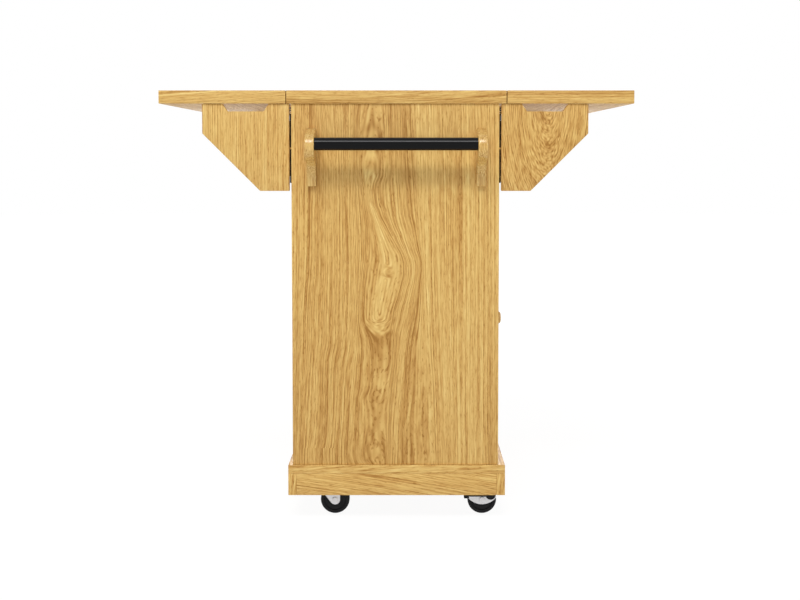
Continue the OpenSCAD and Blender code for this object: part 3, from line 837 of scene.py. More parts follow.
@dataclass
class Board:
    """A veneered board, or another wooden piece, that stands for one node."""

    node: str
    body: str
    slot: str
    grain: Axis
    ease: float = 1.0
    look: dict = field(default_factory=dict)
    faces: dict = field(default_factory=dict)

    def finishes(self) -> list[OakVeneer]:
        """A veneer for the faces along each axis, with the board's own where it has one.

        Returns:
            A finish for the faces across X, Y and Z.
        """
        low, high = span(self.node)
        size = high - low
        middle = (low + high) / 2
        made = []
        for normal in Axis:
            own = {
                "middle": tuple(middle + Vector((0, MIDDLE_Y / MM, 0))),
                "slice_shift": 37.0 * middle.dot(Vector((1.3, 1.7, 2.9))) % 4000,
                **self.look, **self.faces.get(normal, {}),
            }
            made.append(veneer_for(self.grain, normal, size, f"oak {self.node}", **own))
        return made

    def dress(self, solid: Solid, smooth: float = 24.0) -> bpy.types.Object:
        """Turn a finished mesh into this board.

        Args:
            solid: the mesh, with a material index for the axis that each face points along.
            smooth: the angle in degrees under which two faces are shaded as one.

        Returns:
            The piece.
        """
        return solid.finish(self.node, "oak", self.body, self.slot, self.finishes(), smooth)

    def build(self) -> bpy.types.Object:
        """Build a plain board and dress it.

        Returns:
            The piece.
        """
        solid = Solid()
        solid.box(*span(self.node), self.ease, 3, by_axis=True)
        return self.dress(solid)


@dataclass
class Worktop:
    """The fixed top and its two drop leaves: oak veneered board, edged with veneer strip."""

    ease: float = 1.2

    def build(self) -> list[bpy.types.Object]:
        """Build the three boards.

        Returns:
            The pieces.
        """
        boards = (
            Board("worktop", "cabinet", "oak_top", Axis.Y, self.ease, {"heart": (0.0, 40.0)},
                  {Axis.Y: {"growth": 6.0, "depth": 16.0, "taper": 0.10, "heart": (20.0, 34.0)}}),
            Board("leaf_front", "front_leaf", "oak_top", Axis.Y, self.ease, {"heart": (0.0, -60.0)},
                  {Axis.Y: {"growth": 5.0, "depth": 5.0, "heart": (0.0, 90.0)}}),
            Board("leaf_back", "back_leaf", "oak_top", Axis.Y, self.ease, {"heart": (0.0, 30.0)},
                  {Axis.Y: {"growth": 7.0, "depth": 5.0, "tilt": 4.0, "heart": (0.0, 70.0),
                            "tone": 0.06}}),
        )
        return [board.build() for board in boards]


@dataclass
class Cabinet:
    """The case: two end panels, a back, an apron, a shelf on pins, cleats and a base."""

    ease: float = 1.0
    pin_radius: float = 2.5
    pin_depth: float = 8.0
    pin_step: float = 64.0
    pin_xs: tuple[float, float] = (-150.0, 135.0)
    notch_ys: tuple[float, ...] = (-185.0, 0.0, 185.0)
    notch_half: float = 26.0
    notch_depth: float = 1.5

    def near_figure(self) -> Figure:
        """The near panel's figure: an eye in the middle, with lines that bend round its right.

        Returns:
            The figure.
        """
        return Figure((120.0, 900.0), (
            Guide(-178.0, ((120, -236), (900, -226))),
            Guide(-140.0, ((130, -205), (262, -198), (370, -190), (477, -185), (560, -178),
                           (685, -176), (900, -176))),
            Guide(-100.0, ((155, -164), (262, -152), (325, -152), (391, -143), (450, -140),
                           (530, -138), (690, -138), (900, -150))),
            Guide(-55.0, ((176, -119), (322, -108), (391, -98), (530, -92), (690, -94),
                          (900, -94))),
            Guide(-14.0, ((130, -62), (220, -68), (262, -66), (327, -54), (391, -58), (450, -67),
                          (535, -62), (606, -55), (682, -62), (720, -66), (800, -77),
                          (900, -73))),
            Guide(12.0, ((130, -22), (262, -22), (348, -12), (430, -12), (488, 0), (520, 8),
                         (546, 12), (570, 9), (592, -1), (615, -14), (640, -28), (672, -43),
                         (710, -52), (750, -38), (800, -33), (900, -33))),
            Guide(42.0, ((130, -14), (240, -8), (315, -3), (380, 4), (445, 14), (500, 27),
                         (546, 34), (580, 26), (618, 13), (690, -1), (900, -2))),
            Guide(68.0, ((130, 20), (240, 24), (345, 29), (446, 40), (500, 46), (540, 51),
                         (552, 53), (566, 51), (586, 45), (640, 33), (693, 24), (800, 20),
                         (900, 18))),
            Guide(90.0, ((130, 82), (262, 78), (370, 70), (478, 64), (560, 61), (700, 59),
                         (900, 60))),
            Guide(165.0, ((130, 160), (900, 158))),
            # A second leaf of veneer starts here
            Guide(200.0, ((120, 199), (900, 189))),
            Guide(300.0, ((120, 200), (900, 190))),
            Guide(328.0, ((120, 224), (900, 224))),
        ), ((120, 20), (150, 20), (176, 22), (220, 24), (280, 21), (340, 19), (390, 18), (416, 14),
            (432, 8), (444, 2), (470, 0), (560, 0), (640, 0), (700, 4), (760, 14), (900, 22)),
            ((-178, 0.02), (-140, -0.07), (-100, -0.05), (-60, -0.03), (-34, -0.09), (-20, -0.13),
             (-8, 0.02), (0, 0.05), (8, 0.0), (18, -0.12), (30, -0.07), (46, -0.07), (60, -0.14),
             (70, -0.21), (78, -0.08), (92, -0.01), (130, -0.04), (165, 0.01), (199, 0.0),
             (301, 0.0), (328, -0.05)),
            ((540, -18, 22, 20, 7),))

    def end_panel(self, end: int) -> bpy.types.Object:
        """Build an end panel, with the holes for the shelf pins in its inner face.

        Args:
            end: which end of the island it closes.

        Returns:
            The piece.
        """
        node = f"end_panel_{END_NAMES[end]}"
        low, high = span(node)
        solid = Solid()
        solid.box(low, high, self.ease, 3, by_axis=True)
        inner = low.y if end == FAR else high.y
        shelf_low = span("shelf")[0].z
        holes = [arc((x, shelf_low - self.pin_radius + step * self.pin_step),
                     self.pin_radius, 0, 345, 23)
                 for x in self.pin_xs for step in (-1, 0, 1)]
        solid.sink(Axis.Y, inner, holes, self.pin_depth)
        faces = {Axis.Y: {"heart": (30.0, 25.0)}}
        if end == NEAR:
            faces = {Axis.Y: {"middle": (0.0, 0.0, 0.0), "slice_shift": 0.0, "wander": 0.2,
                              "growth": 9.0, "figure": self.near_figure()}}
        return Board(node, "cabinet", "oak_panel", Axis.Z, faces=faces).dress(solid)

    def notched(self, node: str, heart: tuple[float, float]) -> bpy.types.Object:
        """Build a long upright board with notches for the flap hinges in its top edge.

        Args:
            node: the board's node.
            heart: where the heart of the log crosses its face, from its middle.

        Returns:
            The piece.
        """
        low, high = span(node)
        outline = [(low.y, low.z), (high.y, low.z), (high.y, high.z)]
        for y in reversed(self.notch_ys):
            floor = high.z - self.notch_depth
            outline += [(y + self.notch_half, high.z), (y + self.notch_half, floor),
                        (y - self.notch_half, floor), (y - self.notch_half, high.z)]
        outline.append((low.y, high.z))
        solid = Solid()
        solid.plate(outline, Axis.X, low.x, high.x, 0.6, 2, by_axis=True)
        return Board(node, "cabinet", "oak_panel", Axis.Z, look={"heart": heart}).dress(solid)

    def cleats(self) -> bpy.types.Object:
        """Build the two cleats that hold the worktop, one inside each end panel.

        Returns:
            The piece.
        """
        board = Board("top_cleats", "cabinet", "oak_small", Axis.X)
        low, high = span(board.node)
        solid = Solid()
        thickness = span("end_panel_far")[1].y - span("end_panel_far")[0].y
        solid.box(low, (high.x, low.y + thickness, high.z), self.ease, 2, by_axis=True)
        solid.box((low.x, high.y - thickness, low.z), high, self.ease, 2, by_axis=True)
        return board.dress(solid)

    def shelf_pins(self) -> bpy.types.Object:
        """Build the four pins that the shelf stands on.

        Returns:
            The piece.
        """
        low, high = span("shelf_pins")
        solid = Solid()
        for x in self.pin_xs:
            for end in (NEAR, FAR):
                tip, root = (low.y, low.y + 16) if end == NEAR else (high.y, high.y - 16)
                level = (low.z + high.z) / 2
                solid.rod((x, root, level), (x, tip, level), self.pin_radius, 32, 0.6)
        return solid.finish("shelf_pins", "steel", "cabinet", "bright_steel", [BRIGHT_STEEL])

    def build(self) -> list[bpy.types.Object]:
        """Build the case.

        Returns:
            The pieces.
        """
        return [
            self.end_panel(NEAR), self.end_panel(FAR),
            self.notched("back_panel", (40.0, 60.0)), self.notched("front_apron", (0.0, -80.0)),
            self.cleats(),
            Board("shelf", "cabinet", "oak_small", Axis.Y).build(),
            self.shelf_pins(),
            Board("base_board", "cabinet", "oak_plinth", Axis.Y,
                  faces={Axis.Y: {"growth": 6.0, "heart": (-120.0, 34.0), "taper": 0.05}}).build(),
        ]


@dataclass
class Plinth:
    """The skirt boards under the base, and the blocks that the casters screw to."""

    ease: float = 1.0
    block: tuple[float, float] = (106.0, 100.0)

    def corner_blocks(self) -> bpy.types.Object:
        """Build the four corner blocks.

        Returns:
            The piece.
        """
        board = Board("plinth_corner_blocks", "cabinet", "oak_small", Axis.Y)
        low, high = span(board.node)
        solid = Solid()
        across, along = self.block
        for x in (low.x, high.x - across):
            for y in (low.y, high.y - along):
                solid.box((x, y, low.z), (x + across, y + along, high.z), self.ease, 2,
                          by_axis=True)
        return board.dress(solid)

    def build(self) -> list[bpy.types.Object]:
        """Build the plinth.

        Returns:
            The pieces.
        """
        swept = {"growth": 9.0, "heart": (-80.0, -46.0), "tilt": -7.0, "depth": 16.0, "taper": 0.10}
        long = {"growth": 8.0, "heart": (120.0, 60.0)}
        upright = {Axis.Y: {"growth": 6.0, "heart": (0.0, 30.0)}}
        skirts = (("end_near", Axis.X, swept, {}), ("end_far", Axis.X, swept, {}),
                  ("front", Axis.Y, long, upright), ("back", Axis.Y, long, upright))
        return [
            *(Board(f"plinth_{name}", "cabinet", "oak_plinth", grain, self.ease, look,
                    faces).build() for name, grain, look, faces in skirts),
            self.corner_blocks(),
        ]


@dataclass
class FoldOutBracket:
    """A board that folds out on two hinges to carry a raised leaf."""

    side: int
    end: int
    edge: float = 63.0
    mouth: float = 98.0
    floor: float = 77.0
    depth: float = 16.0
    ease: float = 1.2

    def outline(self, size: float) -> list[tuple[float, float]]:
        """The bracket's outline, with its corner cut off and a hand notch in its top edge.

        Args:
            size: its width and height.

        Returns:
            Points from the hinge outwards and from the lower edge up.
        """
        middle, end = size / 2, self.edge
        return rounded([
            (0, 0, 1.5), (end, 0, 3), (size, size - end, 3), (size, size, 1.5),
            (middle + self.mouth / 2, size, 2), (middle + self.floor / 2, size - self.depth, 4),
            (middle - self.floor / 2, size - self.depth, 4), (middle - self.mouth / 2, size, 2),
            (0, size, 1.5),
        ])

    def build(self) -> list[bpy.types.Object]:
        """Build the bracket.

        Returns:
            The pieces.
        """
        where = corner_name(self.side, self.end)
        node = f"bracket_{where}"
        low, high = span(node)
        inner = low.x if self.side == FRONT else high.x
        solid = Solid()
        outline = [(inner + self.side * u, low.z + v) for u, v in self.outline(high.x - low.x)]
        solid.plate(outline, Axis.Y, low.y, high.y, self.ease, 3, by_axis=True)
        look = {"growth": 9.0, "depth": 12.0, "heart": (0.0, 150.0), "tone": 0.04}
        if self.side == FRONT:
            look.update({"depth": 34.0, "taper": -0.32, "heart": (10.0, 6.0), "tone": -0.06})
        board = Board(node, f"{where}_bracket", "oak_small", Axis.Z, faces={Axis.Y: look})
        return [board.dress(solid)]


@dataclass
class TowelRail:
    """Two shaped oak arms on the near end panel, and the steel tube between them."""

    foot: float = 10.0
    foot_height: float = 123.5
    head: tuple[float, float] = (52.0, 84.0)
    head_radius: float = 28.0
    hollow_radius: float = 42.0
    ease: float = 2.0
    bar_at: tuple[float, float] = (60.0, 90.0)
    bar_radius: float = 13.5
    bar_wall: float = 1.5
    socket: float = 8.0
    sides: int = 96

    def arm_outline(self) -> list[tuple[float, float]]:
        """An arm's outline, from the panel outwards and from its foot up.

        Returns:
            The outline's corners.
        """
        top = (self.foot, self.foot_height)
        hollow = (self.head[0], self.head[1] - self.head_radius - self.hollow_radius)
        brow = tangent(top, self.head, self.head_radius, 1)
        return [
            (0, 0), (self.foot, 0), *arc(hollow, self.hollow_radius, 180, 90, 14)[0:-1],
            *arc(self.head, self.head_radius, -90, brow, 26), top, (0, self.foot_height),
        ]

    def arm(self, name: str, inner_is_high: bool) -> bpy.types.Object:
        """Build one arm, with a blind socket for the bar in its inner face.

        Args:
            name: left or right, as one faces the rail.
            inner_is_high: whether its inner face is the one at the higher X.

        Returns:
            The piece.
        """
        node = f"towel_arm_{name}"
        low, high = span(node)
        face = high.y
        solid = Solid()
        outline = [(face - u, low.z + v) for u, v in self.arm_outline()]
        solid.plate(outline, Axis.X, low.x, high.x, self.ease, 4, by_axis=True)
        bar = (face - self.bar_at[0], low.z + self.bar_at[1])
        step = 360 / self.sides
        hole = arc(bar, self.bar_radius + 0.05, 0, 360 - step, self.sides - 1)
        solid.sink(Axis.X, high.x if inner_is_high else low.x, [hole], self.socket)
        look = {"growth": 11.0, "heart": (0.0, 120.0), "depth": 8.0, "taper": 0.0, "wander": 0.15,
                "tone": 0.04, "satin": 0.22}
        return Board(node, "cabinet", "oak_small", Axis.Z, look=look).dress(solid, 32.0)

    def bar(self) -> bpy.types.Object:
        """Build the tube.

        Returns:
            The piece.
        """
        low, high = span("towel_bar")
        middle = (low + high) / 2
        half = (high.x - low.x) / 2
        outer, bore = self.bar_radius, self.bar_radius - self.bar_wall
        solid = Solid()
        solid.turned([(bore, -half), (outer, -half), (outer, half), (bore, half)],
                     middle, Axis.X, self.sides)
        return solid.finish("towel_bar", "tube", "cabinet", "black_bar", [POWDER_BLACK])

    def build(self) -> list[bpy.types.Object]:
        """Build the rail."""
        return [self.arm("left", True), self.arm("right", False), self.bar()]


@dataclass
class ButtHinge:
    """A butt hinge whose pin stands at x = 0, y = 0, with its plates along +y when shut."""

    height: float
    width: float
    thickness: float
    radius: float
    gap: float
    knuckles: int = 5
    play: float = 0.4
    running: float = 0.3
    screws: int = 3
    screw: float = 3.0

    def leaf(self, moving: bool, turn: float = 0.0) -> Solid:
        """Build one leaf in the hinge's own frame.

        Args:
            moving: whether it is the leaf that moves.
            turn: how far it is opened, in degrees.

        Returns:
            The leaf.
        """
        solid = Solid()
        pitch = self.height / self.knuckles
        start = self.radius + self.running
        outer = self.gap / 2 if moving else -self.gap / 2
        near = outer - self.thickness if moving else outer
        far = near + self.thickness
        solid.box((near, start, 0), (far, self.width, self.height), 0.3, 2)
        for i in range(1 if moving else 0, self.knuckles, 2):
            low = i * pitch + self.play / 2
            high = low + pitch - self.play
            solid.rod((0, 0, low), (0, 0, high), self.radius, 32, 0.25)
            solid.box((near, 0, low), (far, start + 1, high))
        face = near + 0.5 if moving else far - 0.5
        turned = Matrix.Rotation(math.radians(-90 if moving else 90), 4, "Y")
        solid.screws(self.screw, 0.8, [
            Matrix.Translation((face, (start + self.width) / 2 + (-1) ** i * self.width * 0.12,
                                self.height * (i + 0.5) / self.screws)) @ turned
            for i in range(self.screws)])
        bmesh.ops.rotate(solid.bm, verts=solid.bm.verts, cent=(0, 0, 0),
                         matrix=Matrix.Rotation(math.radians(-turn), 3, "Z"))
        return solid


@dataclass
class Hinges:
    """Every hinge of the island: on the brackets, the doors and the leaves."""

    bracket: ButtHinge = field(default_factory=lambda: ButtHinge(72, 24, 1.5, 2.0, 4.2, screw=2.8))
    bracket_zs: tuple[float, float] = (731.0, 807.0)
    door: ButtHinge = field(default_factory=lambda: ButtHinge(60, 15, 1.2, 1.7, 4.0, screw=2.4))
    door_inset: float = 90.0
    flap_length: float = 50.0
    flap_thickness: float = 1.5
    flap_radius: float = 3.5
    flap_inner: float = 26.0
    flap_outer: float = 40.0
    flap_ys: tuple[float, ...] = (-185.0, 0.0, 185.0)
    flap_knuckles: int = 5
    flap_play: float = 0.4
    flap_running: float = 0.3
    # The radius and the height of a flap hinge's screw heads, and how many there are
    flap_screw: tuple[float, float] = (3.2, 0.8)
    flap_screws: int = 3
    # The pins of the brackets, the doors and the flaps
    pin_radii: tuple[float, float, float] = (1.0, 0.8, 1.5)

    def bracket_places(self, side: int, end: int) -> list[Matrix]:
        """Where one bracket's two hinges stand.

        Args:
            side: the side that the bracket is on.
            end: the end that it is at.

        Returns:
            The hinges' places.
        """
        at = pivot(f"{corner_name(side, end)}_bracket_fold")
        turn = Matrix.Diagonal((side, -end, 1, 1))
        return [Matrix.Translation((at.x, at.y, z)) @ turn for z in self.bracket_zs]

    def door_places(self, end: int) -> list[Matrix]:
        """Where one door's two hinges stand, with the plates' width turned along X.

        Args:
            end: the end that the door is at.

        Returns:
            The hinges' places.
        """
        at = pivot(f"{END_NAMES[end]}_door_swing")
        low, high = span(f"door_{END_NAMES[end]}")
        turn = Matrix(((0, -1, 0, 0), (-end, 0, 0, 0), (0, 0, 1, 0), (0, 0, 0, 1)))
        zs = (low.z + self.door_inset, high.z - self.door_inset - self.door.height)
        return [Matrix.Translation((at.x, at.y, z)) @ turn for z in zs]

    def flap_leaf(self, width: float, moving: bool) -> Solid:
        """Build one leaf of a flap hinge, lying flat with its pin along y.

        Args:
            width: how far it reaches from the pin.
            moving: whether it is the leaf that moves.

        Returns:
            The leaf.
        """
        solid = Solid()
        way = 1 if moving else -1
        pitch = self.flap_length / self.flap_knuckles
        start = self.flap_radius + self.flap_running
        low, high = self.flap_radius - self.flap_thickness, self.flap_radius
        xs = sorted((way * start, way * width))
        half = self.flap_length / 2
        solid.box((xs[0], -half, low), (xs[1], half, high), 0.3, 2)
        for i in range(1 if moving else 0, self.flap_knuckles, 2):
            y = i * pitch + self.flap_play / 2 - half
            end = y + pitch - self.flap_play
            solid.rod((0, y, 0), (0, end, 0), self.flap_radius, 32, 0.4)
            xs = sorted((0, way * (start + 1)))
            solid.box((xs[0], y, low), (xs[1], end, high))
        over = Matrix.Rotation(math.pi, 4, "X")
        solid.screws(*self.flap_screw, [
            Matrix.Translation((way * (width + start) / 2 + (-1) ** i * 4.0, half * (i - 1) * 0.66,
                                low + 0.5)) @ over
            for i in range(self.flap_screws)])
        return solid

    def flap_places(self, side: int) -> list[Matrix]:
        """Where one leaf's flap hinges lie.

        Args:
            side: the side that the leaf is on.

        Returns:
            The hinges' places.
        """
        at = pivot(f"{SIDE_NAMES[side]}_leaf_lift")
        turn = Matrix.Diagonal((side, 1, 1, 1))
        return [Matrix.Translation((at.x, y, at.z)) @ turn for y in self.flap_ys]

    def piece(self, node: str, body: str, leaf: Solid, places: list[Matrix]) -> bpy.types.Object:
        """Repeat a leaf to make the piece for one node.

        Args:
            node: the node that it stands for.
            body: the body that it rides on.
            leaf: the leaf.
            places: where it is repeated.

        Returns:
            The piece.
        """
        solid = Solid()
        solid.take(leaf, places)
        return solid.finish(node, "steel", body, "black_hinge", [HINGE_BLACK])

    def pins(self, joined: Sequence[list[Matrix]]) -> bpy.types.Object:
        """Build every hinge's pin.

        Args:
            joined: where the hinges of the brackets, the doors and the leaves are.

        Returns:
            The piece.
        """
        solid = Solid()
        half = self.flap_length / 2
        kinds = (((0, 0, 0), (0, 0, self.bracket.height), 0.2),
                 ((0, 0, 0), (0, 0, self.door.height), 0.2),
                 ((0, -half, 0), (0, half, 0), 0.3))
        for radius, (start, end, ease), places in zip(self.pin_radii, kinds, joined):
            pin = Solid()
            pin.rod(start, end, radius, 24, ease)
            solid.take(pin, places)
        return solid.finish("hinge_pins", "steel", "cabinet", "bright_steel", [PIN_STEEL])

    def build(self) -> list[bpy.types.Object]:
        """Build the fixed leaves and the pins, then the leaves that move.

        Returns:
            The pieces.
        """
        corners = [(corner_name(*corner), self.bracket_places(*corner)) for corner in CORNERS]
        ends = [(name, self.door_places(end)) for end, name in END_NAMES.items()]
        sides = [(name, self.flap_places(side)) for side, name in SIDE_NAMES.items()]
        kinds = (
            ("bracket", self.bracket.leaf(False), self.bracket.leaf(True, 90), corners),
            ("door", self.door.leaf(False), self.door.leaf(True), ends),
            ("leaf", self.flap_leaf(self.flap_inner, False),
             self.flap_leaf(self.flap_outer, True), sides),
        )
        joined = [[place for _, places in where for place in places] for *_, where in kinds]
        made = [self.piece(f"{kind}_hinge_fixed_leaves", "cabinet", fixed, places)
                for (kind, fixed, *_), places in zip(kinds, joined)]
        made.append(self.pins(joined))
        made += [self.piece(f"{kind}_hinge_leaves_{name}", f"{name}_{kind}", moving, places)
                 for kind, _, moving, where in kinds for name, places in where]
        return made


@dataclass
class Door:
    """A door with its turned knob and the strike plate for its catch."""

    end: int
    knob_radius: float = 15.0
    reach: float = 34.0

    def knob(self) -> bpy.types.Object:
        """Build the turned oak knob.

        Returns:
            The piece.
        """
        name = END_NAMES[self.end]
        low, high = span(f"knob_{name}")
        middle = (low + high) / 2
        brim, stem, foot = self.knob_radius, self.knob_radius * 0.54, self.knob_radius * 0.72
        profile = [
            (0, 0), (foot, 0), *arc((foot - 1, 1), 1, 0, 60, 3),
            *arc((stem + 5, 7.2), 5, 240, 180, 8), *arc((stem + 5, 12.4), 5, 180, 118, 6),
            *arc((brim - 3, self.reach * 0.62), 3, -45, 0, 5),
            *arc((brim - 6, self.reach - 7), 6, 0, 68, 8),
            (brim * 0.4, self.reach - 0.35), (brim * 0.2, self.reach - 0.08), (0, self.reach),
        ]
        solid = Solid()
        solid.turned(profile, (low.x, middle.y, middle.z), Axis.X, 64)
        look = {"growth": 7.0, "heart": (0.0, 25.0)}
        board = Board(f"knob_{name}", f"{name}_door", "oak_small", Axis.X, look=look)
        return board.dress(solid, 45.0)

    def strike(self) -> bpy.types.Object:
        """Build the strike plate on the door's inner face.

        Returns:
            The piece.
        """
        name = END_NAMES[self.end]
        low, high = span(f"door_strike_{name}")
        solid = Solid()
        corners = rounded([(low.y, low.z, 2), (high.y, low.z, 2), (high.y, high.z, 2),
                           (low.y, high.z, 2)])
        solid.plate(corners, Axis.X, low.x, high.x, 0.25, 2)
        return solid.finish(f"door_strike_{name}", "steel", f"{name}_door", "bright_steel", [ZINC])

    def build(self) -> list[bpy.types.Object]:
        """Build the door, its knob and its strike plate.

        Returns:
            The pieces.
        """
        name = END_NAMES[self.end]
        look = {"heart": (0.0, self.end * 40.0)}
        door = Board(f"door_{name}", f"{name}_door", "oak_panel", Axis.Z, look=look)
        return [door.build(), self.knob(), self.strike()]


@dataclass
class Catches:
    """The two moulded catches that hold the doors shut."""

    width: float = 46.0
    step: float = 1.3

    def build(self) -> list[bpy.types.Object]:
        """Build both catches as one piece.

        Returns:
            The pieces.
        """
        low, high = span("door_catches")
        lip = span("front_apron")[0].z
        solid = Solid()
        for y in (low.y, high.y - self.width):
            end = y + self.width
            solid.box((low.x, y, low.z), (high.x - self.step, end, high.z), 0.8, 3)
            solid.box((high.x - self.step - 1, y, lip), (high.x, end, high.z), 0.3, 2)
        return [solid.finish("door_catches", "nylon", "cabinet", "catch_plastic", [NYLON_WHITE])]


@dataclass
class Caster:
    """What turns on a swivel caster: pressed fork, wheel, bolt, and a brake pedal in front."""

    side: int
    end: int
    trail: float = 25.7
    wheel_radius: float = 31.75
    wheel_half: float = 9.5
    leg_inner: float = 11.0
    leg_thickness: float = 2.5
    leg_tip: float = 11.0
    crown_radius: float = 22.0
    crown_thickness: float = 2.5
    crown_bore: float = 4.1
    crown_top: float = 77.0
    axle: float = 4.0
    nut: float = 6.4
    nut_height: float = 3.5
    lens: tuple[float, float] = (25.7, 61.25)
    lens_radius: float = 40.0
    brake_front: float = -9.5
    pedal_pin: tuple[float, float] = (2.0, 60.0)
    pedal_inner: float = 17.6
    pedal_thickness: float = 2.5
    pad_width: float = 8.0
    pad_ribs: int = 4

    @property
    def where(self) -> str:
        """The caster's corner in names."""
        return corner_name(self.side, self.end)

    @property
    def braked(self) -> bool:
        """Whether it has a brake pedal."""
        return self.side == FRONT

    def place(self) -> Matrix:
        """The caster's own frame, with its swivel axis at x = 0, y = 0."""
        at = pivot(f"{self.where}_caster_swivel")
        return Matrix.Translation((at.x, at.y, 0))

    def dress(self, solid: Solid, node: str, made_of: str, part: str, slot: str, coating: Coating,
              smooth: float = 24.0) -> bpy.types.Object:
        """Put a mesh made in the caster's own frame in its place, and dress it.

        Args:
            solid: the mesh.
            node: the node that it stands for.
            made_of: the end of the piece's name.
            part: the part of the caster that it moves with: caster, wheel or brake.
            slot: the record's material slot.
            coating: its finish.
            smooth: the angle in degrees under which two faces are shaded as one.

        Returns:
            The piece.
        """
        whole = Solid()
        whole.take(solid, [self.place()])
        owner = END_NAMES[self.end] if part == "brake" else self.where
        return whole.finish(node, made_of, f"{owner}_{part}", slot, [coating], smooth)

    def plain_leg(self) -> list[tuple[float, float]]:
        """The side outline of a plain fork leg, as x and z.

        Returns:
            The outline's corners.
        """
        hub = (self.trail, self.wheel_radius)
        corner = (-self.crown_radius + 1, self.crown_top - 3)
        touch = tangent(corner, hub, self.leg_tip, -1)
        return [
            (corner[0], self.crown_top), (self.crown_radius - 6, self.crown_top),
            (hub[0] + self.leg_tip, hub[1] + 20), *arc(hub, self.leg_tip, 0, touch - 360, 16),
            corner,
        ]

    def brake_leg(self) -> list[tuple[float, float]]:
        """The side outline of a fork leg that carries a brake, as x and z.

        Returns:
            The outline's corners.
        """
        cx, cz = self.lens
        left = math.degrees(math.asin((self.brake_front - cx) / self.lens_radius))
        right = math.degrees(math.asin((self.trail + self.leg_tip + 20.5 - cx) / self.lens_radius))
        shoulder = (7.0, self.wheel_radius + 28.25)
        return [
            (-self.crown_radius + 1, self.crown_top), (-self.crown_radius + 1, self.crown_top - 3),
            (self.brake_front, cz - 4),
            *arc((cx, cz), self.lens_radius, -90 + left, -90 + right, 28),
            (self.trail + self.leg_tip, shoulder[1]), shoulder, (shoulder[0], self.crown_top),
        ]

    def fork(self) -> bpy.types.Object:
        """Build the pressed fork.

        Returns:
            The piece.
        """
        solid = Solid()
        outline = self.brake_leg() if self.braked else self.plain_leg()
        for side in (-1, 1):
            ys = sorted((side * self.leg_inner, side * (self.leg_inner + self.leg_thickness)))
            solid.plate(outline, Axis.Y, *ys, 0.7, 3)
        top, radius = self.crown_top, self.crown_radius
        bottom = top - self.crown_thickness
        solid.turned([(self.crown_bore, bottom), (radius - 0.8, bottom), (radius, bottom + 0.8),
                      (radius, top - 0.8), (radius - 0.8, top), (self.crown_bore, top)],
                     (0, 0, 0), Axis.Z, 64)
        reach = self.leg_inner + self.leg_thickness
        solid.box((-radius + 1, -reach, bottom), (radius - 6, reach, top), 0.7, 3)
        return self.dress(solid, f"caster_fork_{self.where}", "steel", "caster", "zinc_plate",
                          ZINC, 32.0)

    def wheel(self) -> bpy.types.Object:
        """Build the wheel: a tread ring, a dished web with a fine groove, and a hub.

        Returns:
            The piece.
        """
        r, half, inner = self.wheel_radius, self.wheel_half, self.leg_inner - 0.3
        one = [
            (self.axle + 0.05, -inner), (8.6, -inner), (9.0, -inner + 0.4), (10.2, -half + 2.6),
            (11.0, -half + 3), (15.0, -half + 3), (15.3, -half + 3.3), (15.9, -half + 3.3),
            (16.2, -half + 3), (r - 9.4, -half + 2.6), (r - 8.6, -half + 2.2),
            (r - 7.9, -half + 0.4), (r - 7.3, -half), *arc((r - 3, -half + 3), 3, -90, 0, 8),
        ]
        profile = one + [(a, -b) for a, b in reversed(one)]
        solid = Solid()
        solid.turned(profile, (self.trail, 0, r), Axis.Y, 96)
        return self.dress(solid, f"caster_wheel_{self.where}", "tread", "wheel", "wheel_black",
                          NYLON_BLACK, 36.0)

    def bolts(self) -> bpy.types.Object:
        """Build the axle bolt with its nut, and the pedal's pivot pin.

        Returns:
            The piece.
        """
        solid = Solid()
        outer = self.leg_inner + self.leg_thickness
        x, z = self.trail, self.wheel_radius
        solid.rod((x, -outer, z), (x, outer, z), self.axle, 48)
        tip = outer + self.nut_height
        for side in (-1, 1):
            solid.rod((x, side * outer, z), (x, side * tip, z), self.nut, 6, 0.5)
            solid.rod((x, side * (tip - 0.6), z), (x, side * (tip - 0.1), z), self.axle - 0.6, 32)
        if self.braked:
            x, z = self.pedal_pin
            end = self.pedal_inner + self.pedal_thickness + 0.3
            solid.rod((x, -end, z), (x, end, z), 2.0, 32)
            for side in (-1, 1):
                solid.rod((x, side * outer, z), (x, side * (self.pedal_inner - 0.3), z), 4.0, 32,
                          0.3)
                solid.rod((x, side * end, z), (x, side * (end + 1), z), 3.2, 32, 0.4)
        return self.dress(solid, f"caster_bolts_{self.where}", "steel", "caster", "zinc_plate",
                          ZINC)

    def pedal_outline(self) -> list[tuple[float, float]]:
        """The side outline of the pedal's side plates, as x and z.

        Returns:
            The outline's corners.
        """
        px, pz = self.pedal_pin
        lobe = (44.3, 44.0)
        top = 54.4
        rise = math.degrees(math.asin((top - lobe[1]) / 11))
        return [
            (-14, 36), (-3, 36), (-3, 40), (33.6, 40), *arc(lobe, 11, -159, rise, 20),
            (36, top), (34, 53), (14, 53), (px + 5, pz), *arc((px, pz), 5, 0, 180, 12), (-6, 53),
            (-14, 53),
        ]

